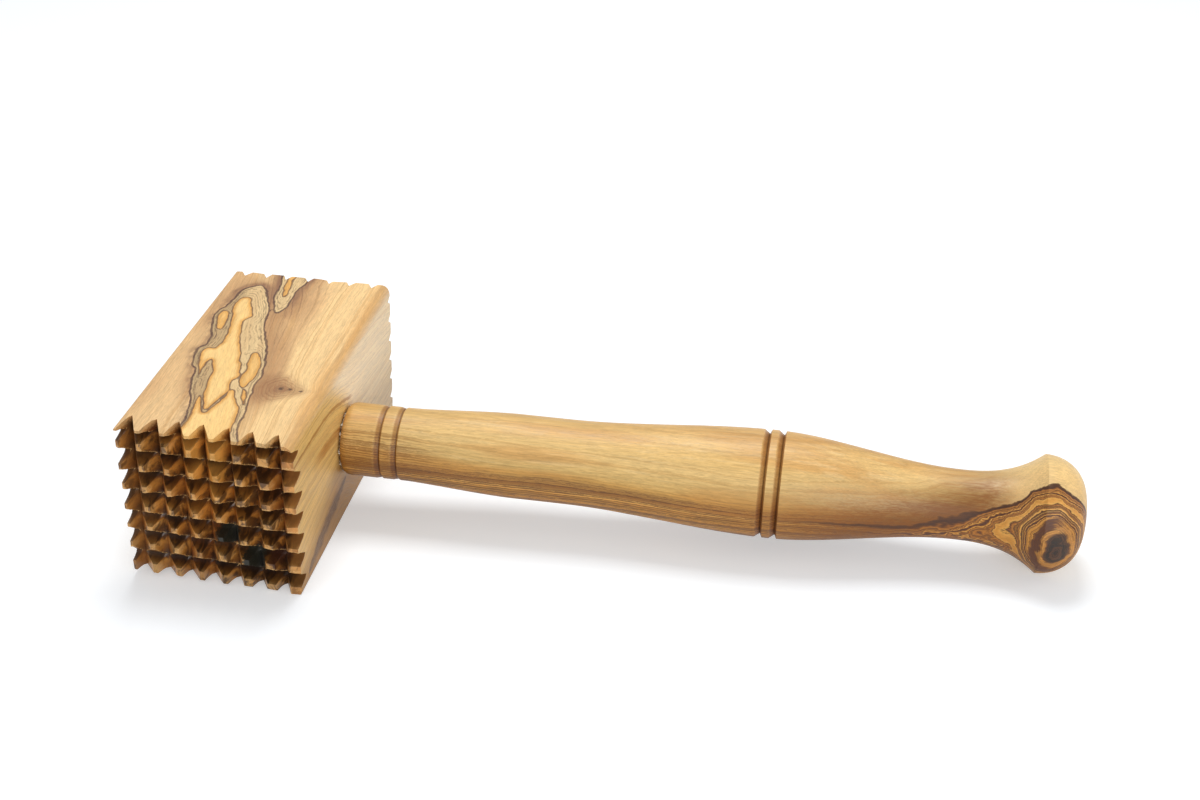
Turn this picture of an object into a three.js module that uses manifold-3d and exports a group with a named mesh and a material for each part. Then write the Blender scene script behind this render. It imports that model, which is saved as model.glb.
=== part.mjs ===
// Wooden meat mallet, for tenderising meat.
// A solid block head has V grooves cut both ways across each end, which leaves rows of teeth:
// deep sharp pyramids on the coarse end and shallow blunt ones on the fine end.
// A turned handle ends in a round tenon, glued into a blind socket in the side of the head.
// Millimetres. +X runs along the handle from the head to the pommel, +Y along the head from
// its coarse end to its fine end, +Z is up. The origin is the middle of the head's underside.

import * as THREE from 'three';
import { mergeVertices } from 'three/addons/utils/BufferGeometryUtils.js';
import Module from 'manifold-3d';

const wasm = await Module();
wasm.setup();

// Head block
const HEAD_WIDTH = 56.6;
const HEAD_LENGTH = 116.4;
const HEAD_HEIGHT = 55.2;
const WORN_ARRIS = 3.0; // upper long edge on the handle's side, rubbed round
const CRISP_ARRIS = 0.6; // the other three long edges

// Teeth: upright grooves make columns, the first measured from the crown face, and level ones
// make rows, the first measured from the top face. Each groove's two flanks have an angle of
// their own off the straight way in, in degrees, the one towards -X or -Z first, because the
// coarse teeth lean. Rows are cut a little less deep than columns.
const COARSE_COLUMNS = { first: 2.8, pitch: 7.95, depth: 7.9, flanks: [16, 26] };
const COARSE_ROWS = { first: 4.75, pitch: 7.7, depth: 7.6, flanks: [15.5, 29.5] };
const FINE_COLUMNS = { first: 4.3, pitch: 7.72, depth: 3.1, flanks: [33, 33] };
const FINE_ROWS = { first: 5.15, pitch: 7.65, depth: 2.9, flanks: [33, 33] };
const LEAST_EDGE_TOOTH = 1.5;

// Joint between head and handle
const AXIS_DROP = 1.25; // handle's axis below the head's middle height
const AXIS_SHIFT = 0.9; // handle's axis off the head's mid length, towards the coarse end
const TENON_RADIUS = 8.5;
const TENON_LENGTH = 34.0; // inside the head
const TENON_CHAMFER = 1.0;
const GLUE_FILM = 0.3; // radial space round the tenon
const GLUE_WELL = 1.0; // space past the tenon's end
const SHOULDER_GAP = 0.6; // the shoulder stands this far off the head's face
const GLUE_RING_RADIUS = 9.9;

// Handle: distances run from the head's face, radii from the handle's axis
const COLLAR_RADIUS = 12.25;
const COLLAR_END = 22.0;
const COLLAR_SLOPE = 0.03; // rise of the radius as the collar runs into the grip
const SHOULDER_ROUND_ALONG = 2.8;
const SHOULDER_ROUND_ACROSS = 1.8;
const WAIST_RADIUS = 14.1;
const WAIST_START = 60.0;
const WAIST_END = 75.0;
const BULGE_RADIUS = 17.78;
const BULGE_AT = 143.0;
const NECK_RADIUS = 11.42;
const NECK_AT = 203.0;
const RIDGE_RADIUS = 19.25;
const RIDGE_AT = 229.3;
const RIDGE_SLOPE = 0.8; // rise of the flare's radius where it meets the pommel's ridge
const HANDLE_REACH = 243.4;
const DOME_SQUARENESS = 3.0; // 2 makes the pommel's dome an ellipse, more squares its corner

// Turned grooves: a long flank, a short flank and a depth, the same for both grooves of a pair
const COLLAR_GROOVES = { first: 12.0, spacing: 5.7, longFlank: 1.9, shortFlank: 0.6, depth: 0.5 };
const BULGE_GROOVES = { first: 139.05, spacing: 4.75, longFlank: 1.9, shortFlank: 0.65, depth: 1.4 };
const GROOVES_IN_A_PAIR = 2;

// Fineness of the facets
const AROUND = 48;
const CURVE_STEPS = 9;
const ARC_STEPS = 6;
const CUT_MARGIN = 2.0; // how far a cutting tool stands out of the wood
const SAME_POINT = 1e-6; // outline points closer than this are one point

const axisHeight = HEAD_HEIGHT / 2 - AXIS_DROP;
const headFace = HEAD_WIDTH / 2;

const oliveHead = new THREE.MeshStandardMaterial({ color: 0xd9b26f, roughness: 0.5, metalness: 0 });
const oliveHandle = new THREE.MeshStandardMaterial({ color: 0xcfa055, roughness: 0.42, metalness: 0 });
const driedGlue = new THREE.MeshStandardMaterial({ color: 0xc9bfa8, roughness: 0.35, metalness: 0 });

function toSolid(geometry) {
  const bare = geometry.index ? geometry.toNonIndexed() : geometry.clone();
  bare.deleteAttribute('normal');
  bare.deleteAttribute('uv');
  const merged = mergeVertices(bare);
  return new wasm.Manifold(new wasm.Mesh({
    numProp: 3,
    vertProperties: merged.attributes.position.array,
    triVerts: new Uint32Array(merged.index.array),
  }));
}

function toGeometry(solid) {
  const mesh = solid.getMesh();
  const geometry = new THREE.BufferGeometry();
  geometry.setAttribute('position', new THREE.BufferAttribute(mesh.vertProperties, 3));
  geometry.setIndex(new THREE.BufferAttribute(mesh.triVerts, 1));
  geometry.computeVertexNormals();
  return geometry;
}

// The head's section across its length, x against z, with its four long edges rounded.
function headSection() {
  const left = -HEAD_WIDTH / 2;
  const right = HEAD_WIDTH / 2;
  const quarter = Math.PI / 2;
  const section = new THREE.Shape();
  section.moveTo(left + CRISP_ARRIS, 0);
  section.absarc(right - CRISP_ARRIS, CRISP_ARRIS, CRISP_ARRIS, -quarter, 0);
  section.absarc(right - WORN_ARRIS, HEAD_HEIGHT - WORN_ARRIS, WORN_ARRIS, 0, quarter);
  section.absarc(left + CRISP_ARRIS, HEAD_HEIGHT - CRISP_ARRIS, CRISP_ARRIS, quarter, 2 * quarter);
  section.absarc(left + CRISP_ARRIS, CRISP_ARRIS, CRISP_ARRIS, 2 * quarter, 3 * quarter);
  return section;
}

function headBlock() {
  const block = new THREE.ExtrudeGeometry(headSection(), {
    depth: HEAD_LENGTH, bevelEnabled: false, curveSegments: ARC_STEPS,
  });
  block.rotateX(Math.PI / 2);
  block.translate(0, HEAD_LENGTH / 2, 0);
  return toSolid(block);
}

// A V groove's tool: a triangle across the cut, carried along it. The first shape axis runs
// across the groove and the second into the wood from the end face, which lies at zero.
function grooveTool(across, depth, [lowFlank, highFlank], length) {
  const reach = depth + CUT_MARGIN;
  const triangle = new THREE.Shape();
  triangle.moveTo(across - reach * Math.tan(THREE.MathUtils.degToRad(lowFlank)), -CUT_MARGIN);
  triangle.lineTo(across + reach * Math.tan(THREE.MathUtils.degToRad(highFlank)), -CUT_MARGIN);
  triangle.lineTo(across, depth);
  triangle.closePath();
  const tool = new THREE.ExtrudeGeometry(triangle, { depth: length + 2 * CUT_MARGIN, bevelEnabled: false });
  tool.translate(0, 0, -CUT_MARGIN);
  return tool;
}

// How many grooves fit across `extent` when the last one leaves an edge tooth.
function grooveCount(grooves, extent) {
  return Math.floor((extent - grooves.first - LEAST_EDGE_TOOTH) / grooves.pitch) + 1;
}

// All grooves of one end, made at -Y. `side` is -1 for that end and +1 for the one at +Y,
// which is turned half round at last, so its columns are made in mirror image.
function endGrooves(side, columns, rows) {
  const tools = [];
  const flanks = side > 0 ? [...columns.flanks].reverse() : columns.flanks;
  for (let i = 0; i < grooveCount(columns, HEAD_WIDTH); i += 1) {
    const x = -HEAD_WIDTH / 2 + columns.first + i * columns.pitch;
    const upright = grooveTool(x * -side, columns.depth, flanks, HEAD_HEIGHT);
    upright.translate(0, -HEAD_LENGTH / 2, 0);
    tools.push(upright);
  }
  for (let i = 0; i < grooveCount(rows, HEAD_HEIGHT); i += 1) {
    const z = HEAD_HEIGHT - rows.first - i * rows.pitch;
    const level = grooveTool(z, rows.depth, rows.flanks, HEAD_WIDTH);
    // across the groove becomes up, into the wood becomes +Y, and the length runs towards -X
    level.applyMatrix4(new THREE.Matrix4().makeBasis(
      new THREE.Vector3(0, 0, 1), new THREE.Vector3(0, 1, 0), new THREE.Vector3(-1, 0, 0),
    ));
    level.translate(HEAD_WIDTH / 2, -HEAD_LENGTH / 2, 0);
    tools.push(level);
  }
  for (const tool of tools) {
    tool.rotateZ(side > 0 ? Math.PI : 0);
  }
  return tools.map(toSolid);
}

function socketTool() {
  const depth = TENON_LENGTH + GLUE_WELL;
  const length = depth + CUT_MARGIN;
  const tool = new THREE.CylinderGeometry(TENON_RADIUS + GLUE_FILM, TENON_RADIUS + GLUE_FILM, length, AROUND);
  tool.rotateZ(-Math.PI / 2);
  tool.translate(headFace + CUT_MARGIN - length / 2, -AXIS_SHIFT, axisHeight);
  return toSolid(tool);
}

function headGeometry() {
  const tools = [
    ...endGrooves(-1, COARSE_COLUMNS, COARSE_ROWS),
    ...endGrooves(1, FINE_COLUMNS, FINE_ROWS),
    socketTool(),
  ];
  return toGeometry(tools.reduce((wood, tool) => wood.subtract(tool), headBlock()));
}

// One stretch of the handle's outline between two distances, with a given radius and slope at
// each: a cubic whose control points lie a third of the way along.
function stretch(fromAt, fromRadius, fromSlope, toAt, toRadius, toSlope) {
  const third = (toAt - fromAt) / 3;
  return new THREE.CubicBezierCurve(
    new THREE.Vector2(fromRadius, fromAt),
    new THREE.Vector2(fromRadius + fromSlope * third, fromAt + third),
    new THREE.Vector2(toRadius - toSlope * third, toAt - third),
    new THREE.Vector2(toRadius, toAt),
  );
}

const gripStretches = [
  stretch(COLLAR_END, COLLAR_RADIUS, COLLAR_SLOPE, WAIST_START, WAIST_RADIUS, 0),
  stretch(WAIST_END, WAIST_RADIUS, 0, BULGE_AT, BULGE_RADIUS, 0),
  stretch(BULGE_AT, BULGE_RADIUS, 0, NECK_AT, NECK_RADIUS, 0),
  stretch(NECK_AT, NECK_RADIUS, 0, RIDGE_AT, RIDGE_RADIUS, RIDGE_SLOPE),
];

// The smooth outline from the shoulder to the pommel's ridge, before the grooves are turned.
function smoothOutline() {
  const points = [];
  const flatRadius = COLLAR_RADIUS - SHOULDER_ROUND_ACROSS;
  for (let i = 0; i <= ARC_STEPS; i += 1) {
    const turn = (i / ARC_STEPS) * (Math.PI / 2);
    points.push(new THREE.Vector2(
      flatRadius + SHOULDER_ROUND_ACROSS * Math.sin(turn),
      SHOULDER_GAP + SHOULDER_ROUND_ALONG * (1 - Math.cos(turn)),
    ));
  }
  for (const curve of gripStretches) {
    points.push(...curve.getPoints(CURVE_STEPS));
  }
  return points;
}

function radiusOn(points, at) {
  const next = Math.max(1, points.findIndex((point) => point.y >= at));
  const before = points[next - 1];
  const after = points[next];
  const share = (at - before.y) / (after.y - before.y);
  return before.x + share * (after.x - before.x);
}

// Turns a pair of V grooves into an outline: points inside a groove give way to its three corners.
function turnGrooves(points, pair) {
  let outline = points;
  for (let i = 0; i < GROOVES_IN_A_PAIR; i += 1) {
    const start = pair.first + i * pair.spacing;
    const bottom = start + pair.longFlank;
    const end = bottom + pair.shortFlank;
    const corners = [
      new THREE.Vector2(radiusOn(outline, start), start),
      new THREE.Vector2(radiusOn(outline, bottom) - pair.depth, bottom),
      new THREE.Vector2(radiusOn(outline, end), end),
    ];
    outline = [
      ...outline.filter((point) => point.y < start),
      ...corners,
      ...outline.filter((point) => point.y > end),
    ];
  }
  return outline;
}

// The pommel's dome: a superellipse from the ridge to the handle's end.
function domeOutline() {
  const points = [];
  for (let i = 1; i < CURVE_STEPS; i += 1) {
    const turn = (i / CURVE_STEPS) * (Math.PI / 2);
    points.push(new THREE.Vector2(
      RIDGE_RADIUS * Math.cos(turn) ** (2 / DOME_SQUARENESS),
      RIDGE_AT + (HANDLE_REACH - RIDGE_AT) * Math.sin(turn),
    ));
  }
  points.push(new THREE.Vector2(0, HANDLE_REACH));
  return points;
}

function tenonOutline() {
  return [
    new THREE.Vector2(0, -TENON_LENGTH),
    new THREE.Vector2(TENON_RADIUS - TENON_CHAMFER, -TENON_LENGTH),
    new THREE.Vector2(TENON_RADIUS, -TENON_LENGTH + TENON_CHAMFER),
    new THREE.Vector2(TENON_RADIUS, SHOULDER_GAP),
  ];
}

function withoutRepeats(points) {
  return points.filter((point, i) => i === 0 || point.distanceTo(points[i - 1]) > SAME_POINT);
}

function handleGeometry() {
  const grip = [COLLAR_GROOVES, BULGE_GROOVES].reduce(turnGrooves, withoutRepeats(smoothOutline()));
  const outline = [...tenonOutline(), ...grip, ...domeOutline()];
  return toGeometry(toSolid(new THREE.LatheGeometry(outline, AROUND)));
}

// Squeezed-out glue, set hard in the gap between the head's face and the handle's shoulder.
function glueRingGeometry() {
  const inner = TENON_RADIUS + GLUE_FILM;
  const section = [
    new THREE.Vector2(inner, 0),
    new THREE.Vector2(GLUE_RING_RADIUS, 0),
    new THREE.Vector2(GLUE_RING_RADIUS, SHOULDER_GAP),
    new THREE.Vector2(inner, SHOULDER_GAP),
    new THREE.Vector2(inner, 0),
  ];
  return toGeometry(toSolid(new THREE.LatheGeometry(section, AROUND)));
}

function named(name, geometry, material) {
  const mesh = new THREE.Mesh(geometry, material);
  mesh.name = name;
  return mesh;
}

// Turned pieces are made round the y axis, then laid along +X on the socket's axis.
const onSocketAxis = new THREE.Group();
onSocketAxis.position.set(headFace, -AXIS_SHIFT, axisHeight);
onSocketAxis.rotation.z = -Math.PI / 2;
onSocketAxis.add(named('handle', handleGeometry(), oliveHandle));
onSocketAxis.add(named('glue_ring', glueRingGeometry(), driedGlue));

const mallet = new THREE.Group();
mallet.add(named('head', headGeometry(), oliveHead));
mallet.add(onSocketAxis);

export default mallet;
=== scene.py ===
# %% [markdown]
# A wooden meat mallet
#
# This lesson dresses a mallet for tenderising meat. A block of olive wood has teeth cut across
# both ends, and a turned handle is glued into its side. A measured model gives the true place
# and size of each piece. Every piece is made again here with its fine surface, and gets a wood
# that is worked out by shader nodes alone, so the grain runs through it like real grain.

# %% Open the measured frame
import math

import bpy
import numpy as np
from mathutils import Matrix, Vector


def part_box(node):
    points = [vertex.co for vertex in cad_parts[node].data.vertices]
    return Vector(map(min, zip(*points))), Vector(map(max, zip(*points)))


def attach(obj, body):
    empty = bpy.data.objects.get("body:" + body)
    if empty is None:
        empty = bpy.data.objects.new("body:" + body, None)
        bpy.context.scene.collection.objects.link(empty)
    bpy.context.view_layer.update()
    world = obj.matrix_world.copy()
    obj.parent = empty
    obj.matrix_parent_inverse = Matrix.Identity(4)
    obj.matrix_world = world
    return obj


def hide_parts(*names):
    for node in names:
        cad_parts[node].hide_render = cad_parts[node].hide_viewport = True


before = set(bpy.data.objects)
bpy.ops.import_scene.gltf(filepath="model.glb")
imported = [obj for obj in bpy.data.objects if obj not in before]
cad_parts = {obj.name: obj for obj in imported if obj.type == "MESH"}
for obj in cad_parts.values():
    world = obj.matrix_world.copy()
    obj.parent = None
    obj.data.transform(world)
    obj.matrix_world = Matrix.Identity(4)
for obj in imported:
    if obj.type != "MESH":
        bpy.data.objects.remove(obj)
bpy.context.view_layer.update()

MM = 0.001
head_low, head_high = (np.array(corner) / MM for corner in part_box("head"))
handle_low, handle_high = (np.array(corner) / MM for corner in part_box("handle"))
ring_high = np.array(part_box("glue_ring")[1]) / MM
print("head from", head_low.round(2), "to", head_high.round(2), "mm")
print("handle from", handle_low.round(2), "to", handle_high.round(2), "mm")

# %% [markdown]
# Helpers for shapes
#
# A surface is easiest to control as a grid: two parameters run over it and a formula gives
# each point. numpy works out all points at once. The helpers below blend, add gentle
# irregularity, and turn arrays into a mesh with extra values stored on its points or faces,
# which the wood shader reads later. Lengths are millimetres until a mesh is made.

# %% Smooth steps and smooth noise
rng = np.random.default_rng(7)
NOISE_CELLS = 32
noise_table = rng.random((NOISE_CELLS, NOISE_CELLS, NOISE_CELLS)) * 2 - 1


def smooth_step(value, low, high):
    """0 below low, 1 above high, and 3t^2 - 2t^3 between them."""
    t = np.clip((value - low) / (high - low), 0, 1)
    return t * t * (3 - 2 * t)


def smooth_noise(points, size):
    """Random numbers from -1 to 1 on a lattice `size` apart, blended by 3t^2 - 2t^3 on each axis."""
    scaled = np.asarray(points, float) / size
    cell = np.floor(scaled).astype(int)
    t = scaled - cell
    t = t * t * (3 - 2 * t)
    total = 0
    for corner in np.ndindex(2, 2, 2):
        weight = np.prod(np.where(corner, t, 1 - t), axis=-1)
        at = (cell + corner) % NOISE_CELLS
        total = total + weight * noise_table[at[..., 0], at[..., 1], at[..., 2]]
    return total


print("noise at the origin", smooth_noise(np.zeros((1, 3)), 10.0).round(3))


# %% From arrays to a piece
def make_piece(name, points, face_groups, sharp_angle=None):
    """A smooth mesh object from points in millimetres and arrays of faces."""
    mesh = bpy.data.meshes.new(name)
    faces = [face for group in face_groups for face in group.tolist()]
    mesh.from_pydata((points * MM).tolist(), [], faces)
    mesh.polygons.foreach_set("use_smooth", np.ones(len(mesh.polygons), bool))
    if sharp_angle is not None:
        mesh.set_sharp_from_angle(angle=math.radians(sharp_angle))
    mesh.update()
    piece = bpy.data.objects.new(name, mesh)
    bpy.context.scene.collection.objects.link(piece)
    print(name, "has", len(points), "points and", len(faces), "faces")
    return piece


def store(piece, name, values, domain="POINT"):
    """Keeps one number, or one vector, for each point or face under a name for the shader."""
    values = np.asarray(values, np.float32)
    kind, field = ("FLOAT", "value") if values.ndim == 1 else ("FLOAT_VECTOR", "vector")
    layer = piece.data.attributes.new(name, kind, domain)
    layer.data.foreach_set(field, values.ravel())


def strip_faces(first, second):
    """Quads between closed rings of point numbers, or between two stacks of such rings."""
    quads = np.stack([first, np.roll(first, -1, -1), np.roll(second, -1, -1), second], -1)
    return quads.reshape(-1, 4)


def fan_faces(ring, centre):
    """Triangles from a closed ring of point numbers to one more point."""
    return np.stack([ring, np.roll(ring, -1), np.full(len(ring), centre)], -1)


print("two rings of 4 are joined by", len(strip_faces(np.arange(4), np.arange(4, 8))), "faces")

# %% [markdown]
# The head's sizes
#
# The grooves were sawn by hand, so no two are alike. Each is written as the place of its low
# lip, its bottom and its high lip, and its depth. The low side of a coarse groove is hollow
# and its high side straight, because the teeth lean. The end itself is not quite square
# either: it slopes back towards its lower left corner.

# %% Measured grooves
HALF_WIDTH = head_high[0]
HALF_LENGTH = head_high[1]
HEIGHT = head_high[2]
WORN_ARRIS = 3.0
CRISP_ARRIS = 0.6

# low lip, bottom, high lip, depth
COARSE_COLUMNS = [
    (-27.4, -25.5, -21.5, 9.0),
    (-20.0, -17.3, -13.4, 8.4),
    (-12.0, -10.0, -5.6, 8.4),
    (-4.1, -2.2, 2.1, 8.2),
    (3.6, 6.2, 9.3, 7.7),
    (11.6, 14.0, 17.3, 7.0),
    (20.0, 22.2, 25.0, 6.9),
]
COARSE_ROWS = [
    (3.2, 5.1, 9.0, 7.7),
    (10.9, 13.1, 16.9, 7.7),
    (18.2, 20.3, 24.1, 7.7),
    (25.9, 28.3, 31.5, 8.2),
    (33.5, 35.8, 39.2, 8.2),
    (41.4, 43.1, 47.4, 7.5),
    (49.9, 51.5, 54.2, 6.4),
]
FINE_COLUMNS = [
    (-26.0, -24.0, -22.1, 3.2),
    (-18.2, -16.2, -14.9, 3.3),
    (-10.4, -8.9, -7.2, 3.3),
    (-2.9, -0.9, 0.4, 3.2),
    (5.2, 7.0, 8.2, 3.2),
    (12.4, 14.1, 16.0, 3.2),
    (20.5, 22.3, 24.0, 3.2),
]
FINE_ROW_BOTTOMS = HEIGHT - 5.15 - 7.65 * np.arange(6, -1, -1)
FINE_ROWS = [(z - 1.9, z, z + 1.9, 2.9) for z in FINE_ROW_BOTTOMS]
ROW_TILT = 0.021  # the coarse rows drop this much for each millimetre towards the handle
HOLLOW = 2.2  # power of the hollow side of a coarse groove; 1 is straight
END_SLOPE_LEFT = 4.8  # how far the coarse end stands back at its lower left corner
END_SLOPE_RIGHT = 1.5  # and at its lower right corner
print(len(COARSE_COLUMNS), "coarse columns,", len(COARSE_ROWS), "coarse rows")

# %% [markdown]
# Grid lines that follow the grooves
#
# A height grid only shows a crisp V if one of its lines runs along the bottom and one along
# each lip. So the lines are not spread evenly: they are laid from lip to bottom to lip, for
# every groove in turn.

# %% Lines across an end
LAND_STEPS, LOW_STEPS, HIGH_STEPS = 3, 6, 8
LOW_EDGE = np.array([0.0, 0.25, CRISP_ARRIS])
HIGH_EDGE = np.array([0.4, 0.25, 0.0])
WORN_EDGE = np.array([2.2, 1.5, 0.9, 0.4, 0.0])


def lines_across(grooves, low, high, high_edge, hollow):
    """Line places and depths from one side of an end to the other, and the numbers of the bottoms.

    On a groove's low side the depth goes evenly from 0 to full while the distance to the bottom
    goes as (1 - depth share)^(1 / hollow). On its high side both go evenly.
    """
    down = np.linspace(0, 1, LOW_STEPS + 1)
    up = np.linspace(0, 1, HIGH_STEPS + 1)
    places = [low + LOW_EDGE]
    depths = [np.zeros(len(LOW_EDGE))]
    bottoms = []
    for lip, bottom, far_lip, depth in grooves:
        last = places[-1][-1]
        places.append(np.linspace(last, lip, LAND_STEPS + 1)[1:-1])
        depths.append(np.zeros(LAND_STEPS - 1))
        places.append(bottom + (lip - bottom) * (1 - down) ** (1 / hollow))
        depths.append(depth * down)
        bottoms.append(sum(len(part) for part in places) - 1)
        places.append((bottom + (far_lip - bottom) * up)[1:])
        depths.append((depth * (1 - up))[1:])
    last = places[-1][-1]
    edge = high - high_edge
    places.append(np.linspace(last, edge[0], LAND_STEPS)[1:-1])
    places.append(edge)
    depths.append(np.zeros(LAND_STEPS - 2 + len(edge)))
    return np.concatenate(places), np.concatenate(depths), np.array(bottoms)


trial = lines_across(COARSE_COLUMNS, -HALF_WIDTH, HALF_WIDTH, WORN_EDGE, HOLLOW)[0]
print(len(trial), "lines across the coarse end, closest", np.diff(trial).min().round(3), "mm apart")


# %% [markdown]
# The surface of one end
#
# Where a column groove and a row groove meet, the deeper cut wins, which leaves a pyramid.
# Wedges could be cut out of a block instead, but would leave every tooth alike and sharp. Here
# a soft maximum rounds the pyramid's hips a little, as wear does, and each tooth draws its own
# random numbers, because some tips are broken back and all are a little different.

# %% Helpers for an end
HIP_ROUND = 0.25
TIP_LOSS, FINE_TIP_LOSS = 0.9, 0.27
TIP_LEAN = 0.12
GROOVE_WANDER, WANDER_SIZE = 0.16, 6.0
RIM_FADE = 3.0  # the grooves wander less than this far from the rim
CHIP_DEPTH, CHIP_SIZE, CHIP_REACH = 0.22, 0.9, 1.5
BURR_DROP, BURR_STAND, BURR_SIZE = 0.35, 0.30, 0.8
EDGE_SPREAD = 1.1  # how far in depth from a hip its edge value reaches
FINE_WEAR = 0.35  # the share of chips and burrs that the fine end has
LEAST_DEPTH = 0.02


def round_corners(x, z):
    """Squeezes the corners of the rectangle into quarter circles.

    Inside a corner's square of side r, with a and b from 0 to 1 towards the corner, the point
    moves to a * sqrt(1 - b^2 / 2), b * sqrt(1 - a^2 / 2).
    """
    x, z = x.copy(), z.copy()
    low_corners = [(-1, -1, CRISP_ARRIS), (1, -1, CRISP_ARRIS)]
    for side, up, radius in low_corners + [(-1, 1, CRISP_ARRIS), (1, 1, WORN_ARRIS)]:
        centre_x = side * (HALF_WIDTH - radius)
        centre_z = HEIGHT - radius if up > 0 else radius
        a = (x - centre_x) * side / radius
        b = (z - centre_z) * up / radius
        inside = (a > 0) & (b > 0)
        a, b = np.clip(a, 0, 1), np.clip(b, 0, 1)
        x = np.where(inside, centre_x + side * radius * a * np.sqrt(1 - b * b / 2), x)
        z = np.where(inside, centre_z + up * radius * b * np.sqrt(1 - a * a / 2), z)
    return x, z


def soft_max(a, b, width):
    """The larger of a and b, raised by width / 4 * (1 - |a - b| / width)^2 where they are close."""
    near = np.clip(1 - np.abs(a - b) / width, 0, 1)
    return np.maximum(a, b) + width / 4 * near * near


def tooth_means(lines, tooth_of):
    """For each line, the mean place of the lines of its tooth."""
    means = [lines[tooth_of == k].mean() for k in range(tooth_of[-1] + 1)]
    return np.array(means)[tooth_of]


trial_x = round_corners(np.array([HALF_WIDTH]), np.array([HEIGHT]))[0]
print("the worn corner moves in by", (HALF_WIDTH - trial_x).round(2), "mm")


# %% The surface of an end
def end_surface(columns, rows, hollow, coarse):
    """Points of one end as a grid, with how high each lies between groove bottom and tip.

    `rise` counts all grooves and `row_rise` only those between the rows. Both are 0 at a bottom
    and 1 at a tip. Numbers added to `flat` only pick another part of the noise.
    """
    x_lines, column_depth, column_bottoms = lines_across(columns, -HALF_WIDTH, HALF_WIDTH, WORN_EDGE, hollow)
    z_lines, row_depth, row_bottoms = lines_across(rows, 0, HEIGHT, HIGH_EDGE, hollow)
    x, z = np.meshgrid(x_lines, z_lines, indexing="ij")
    away_x = np.clip((HALF_WIDTH - np.abs(x)) / RIM_FADE, 0, 1)
    away_z = np.clip(np.minimum(z, HEIGHT - z) / RIM_FADE, 0, 1)
    flat = np.stack([x, z, np.full_like(x, 40.0 if coarse else 90.0)], -1)
    x = x + GROOVE_WANDER * away_x * smooth_noise(flat, WANDER_SIZE)
    z = z + GROOVE_WANDER * away_z * smooth_noise(flat + 50, WANDER_SIZE)
    if coarse:
        z = z - ROW_TILT * x * away_z

    column_of = np.searchsorted(column_bottoms, np.arange(len(x_lines)), side="left")
    row_of = np.searchsorted(row_bottoms, np.arange(len(z_lines)), side="left")
    teeth = (len(columns) + 1, len(rows) + 1)
    lost = rng.random(teeth) ** 2 * (TIP_LOSS if coarse else FINE_TIP_LOSS)
    lean_x, lean_z = rng.normal(0, TIP_LEAN, (2, *teeth))
    tooth = np.ix_(column_of, row_of)
    from_x = x - tooth_means(x_lines, column_of)[:, None]
    from_z = z - tooth_means(z_lines, row_of)[None, :]
    tip = lost[tooth] + lean_x[tooth] * from_x + lean_z[tooth] * from_z
    deep_column, deep_row = column_depth[:, None] + 0 * x, row_depth[None, :] + 0 * x
    depth = soft_max(deep_column, deep_row, HIP_ROUND)
    depth = soft_max(depth, np.clip(tip, 0, None), HIP_ROUND) - HIP_ROUND / 4

    hip = np.exp(-((deep_column - deep_row) / EDGE_SPREAD) ** 2)
    step_down = np.diff(row_depth, append=0) < 0
    under = (step_down | np.roll(step_down, 1))[None, :]
    edge = hip * np.where(under, 1.0, 0.5)
    chip = CHIP_DEPTH * smooth_noise(flat + 200, CHIP_SIZE) * np.exp(-depth / CHIP_REACH)
    burr = np.clip(smooth_noise(flat + 90, BURR_SIZE) + 0.2, 0, None) * edge * under
    wear = 1.0 if coarse else FINE_WEAR
    z = z - BURR_DROP * wear * burr * away_z
    depth = np.clip(depth + (chip - BURR_STAND * burr) * wear, LEAST_DEPTH, None)
    rise = 1 - depth / max(groove[3] for groove in columns)
    row_rise = 1 - deep_row / row_depth.max()
    if coarse:
        share = 0.5 - x / (2 * HALF_WIDTH)
        slope = END_SLOPE_RIGHT + (END_SLOPE_LEFT - END_SLOPE_RIGHT) * share
        depth = depth + (1 - z / HEIGHT) * slope * rise
    x, z = round_corners(x, z)
    return x, z, depth, rise, row_rise, edge, column_of, row_of


coarse_end = end_surface(COARSE_COLUMNS, COARSE_ROWS, HOLLOW, coarse=True)
fine_end = end_surface(FINE_COLUMNS, FINE_ROWS, 1.0, coarse=False)
for name, end in [("coarse", coarse_end), ("fine", fine_end)]:
    print(name, "end grid", end[0].shape, "deepest", end[2].max().round(2), "mm")

# %% [markdown]
# Closing the block
#
# The rim of one end grid and the rim of the other have the same number of points, so rings
# between them make the four long faces. On the face that carries the handle, a patch of that
# skin is left out, and rings lead from its edge to a circle, into the socket and to the
# socket's floor. A boolean cut could bore the socket too, but rings keep the faces even and
# the numbers of the points known. The result is one closed body.

# %% Sizes of the socket, and helpers for closing
AXIS_Y = (handle_low[1] + handle_high[1]) / 2
AXIS_Z = (handle_low[2] + handle_high[2]) / 2
SOCKET_RADIUS = 8.8
SOCKET_DEPTH = HALF_WIDTH - handle_low[0] + 1.0
SOCKET_PATCH = 10.8
SOCKET_BEVEL = 0.4


def rim(grid):
    """The outer points of a grid, walked anticlockwise as seen from the coarse end."""
    return np.concatenate([grid[:-1, 0], grid[-1, :-1], grid[:0:-1, -1], grid[0, :0:-1]])


def cap_faces(depth, number, turned):
    """Two triangles for each cell of an end grid.

    The cell is split between the two opposite corners that stand higher together, so that
    ridges stay ridges.
    """
    a, b = number[:-1, :-1], number[1:, :-1]
    c, d = number[1:, 1:], number[:-1, 1:]
    ridge = (depth[:-1, :-1] + depth[1:, 1:]) < (depth[1:, :-1] + depth[:-1, 1:])
    first = np.where(ridge[..., None], np.stack([a, b, c], -1), np.stack([a, b, d], -1))
    second = np.where(ridge[..., None], np.stack([a, c, d], -1), np.stack([b, c, d], -1))
    both = np.stack([first, second], 2)
    return both[..., ::-1] if turned else both


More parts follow.
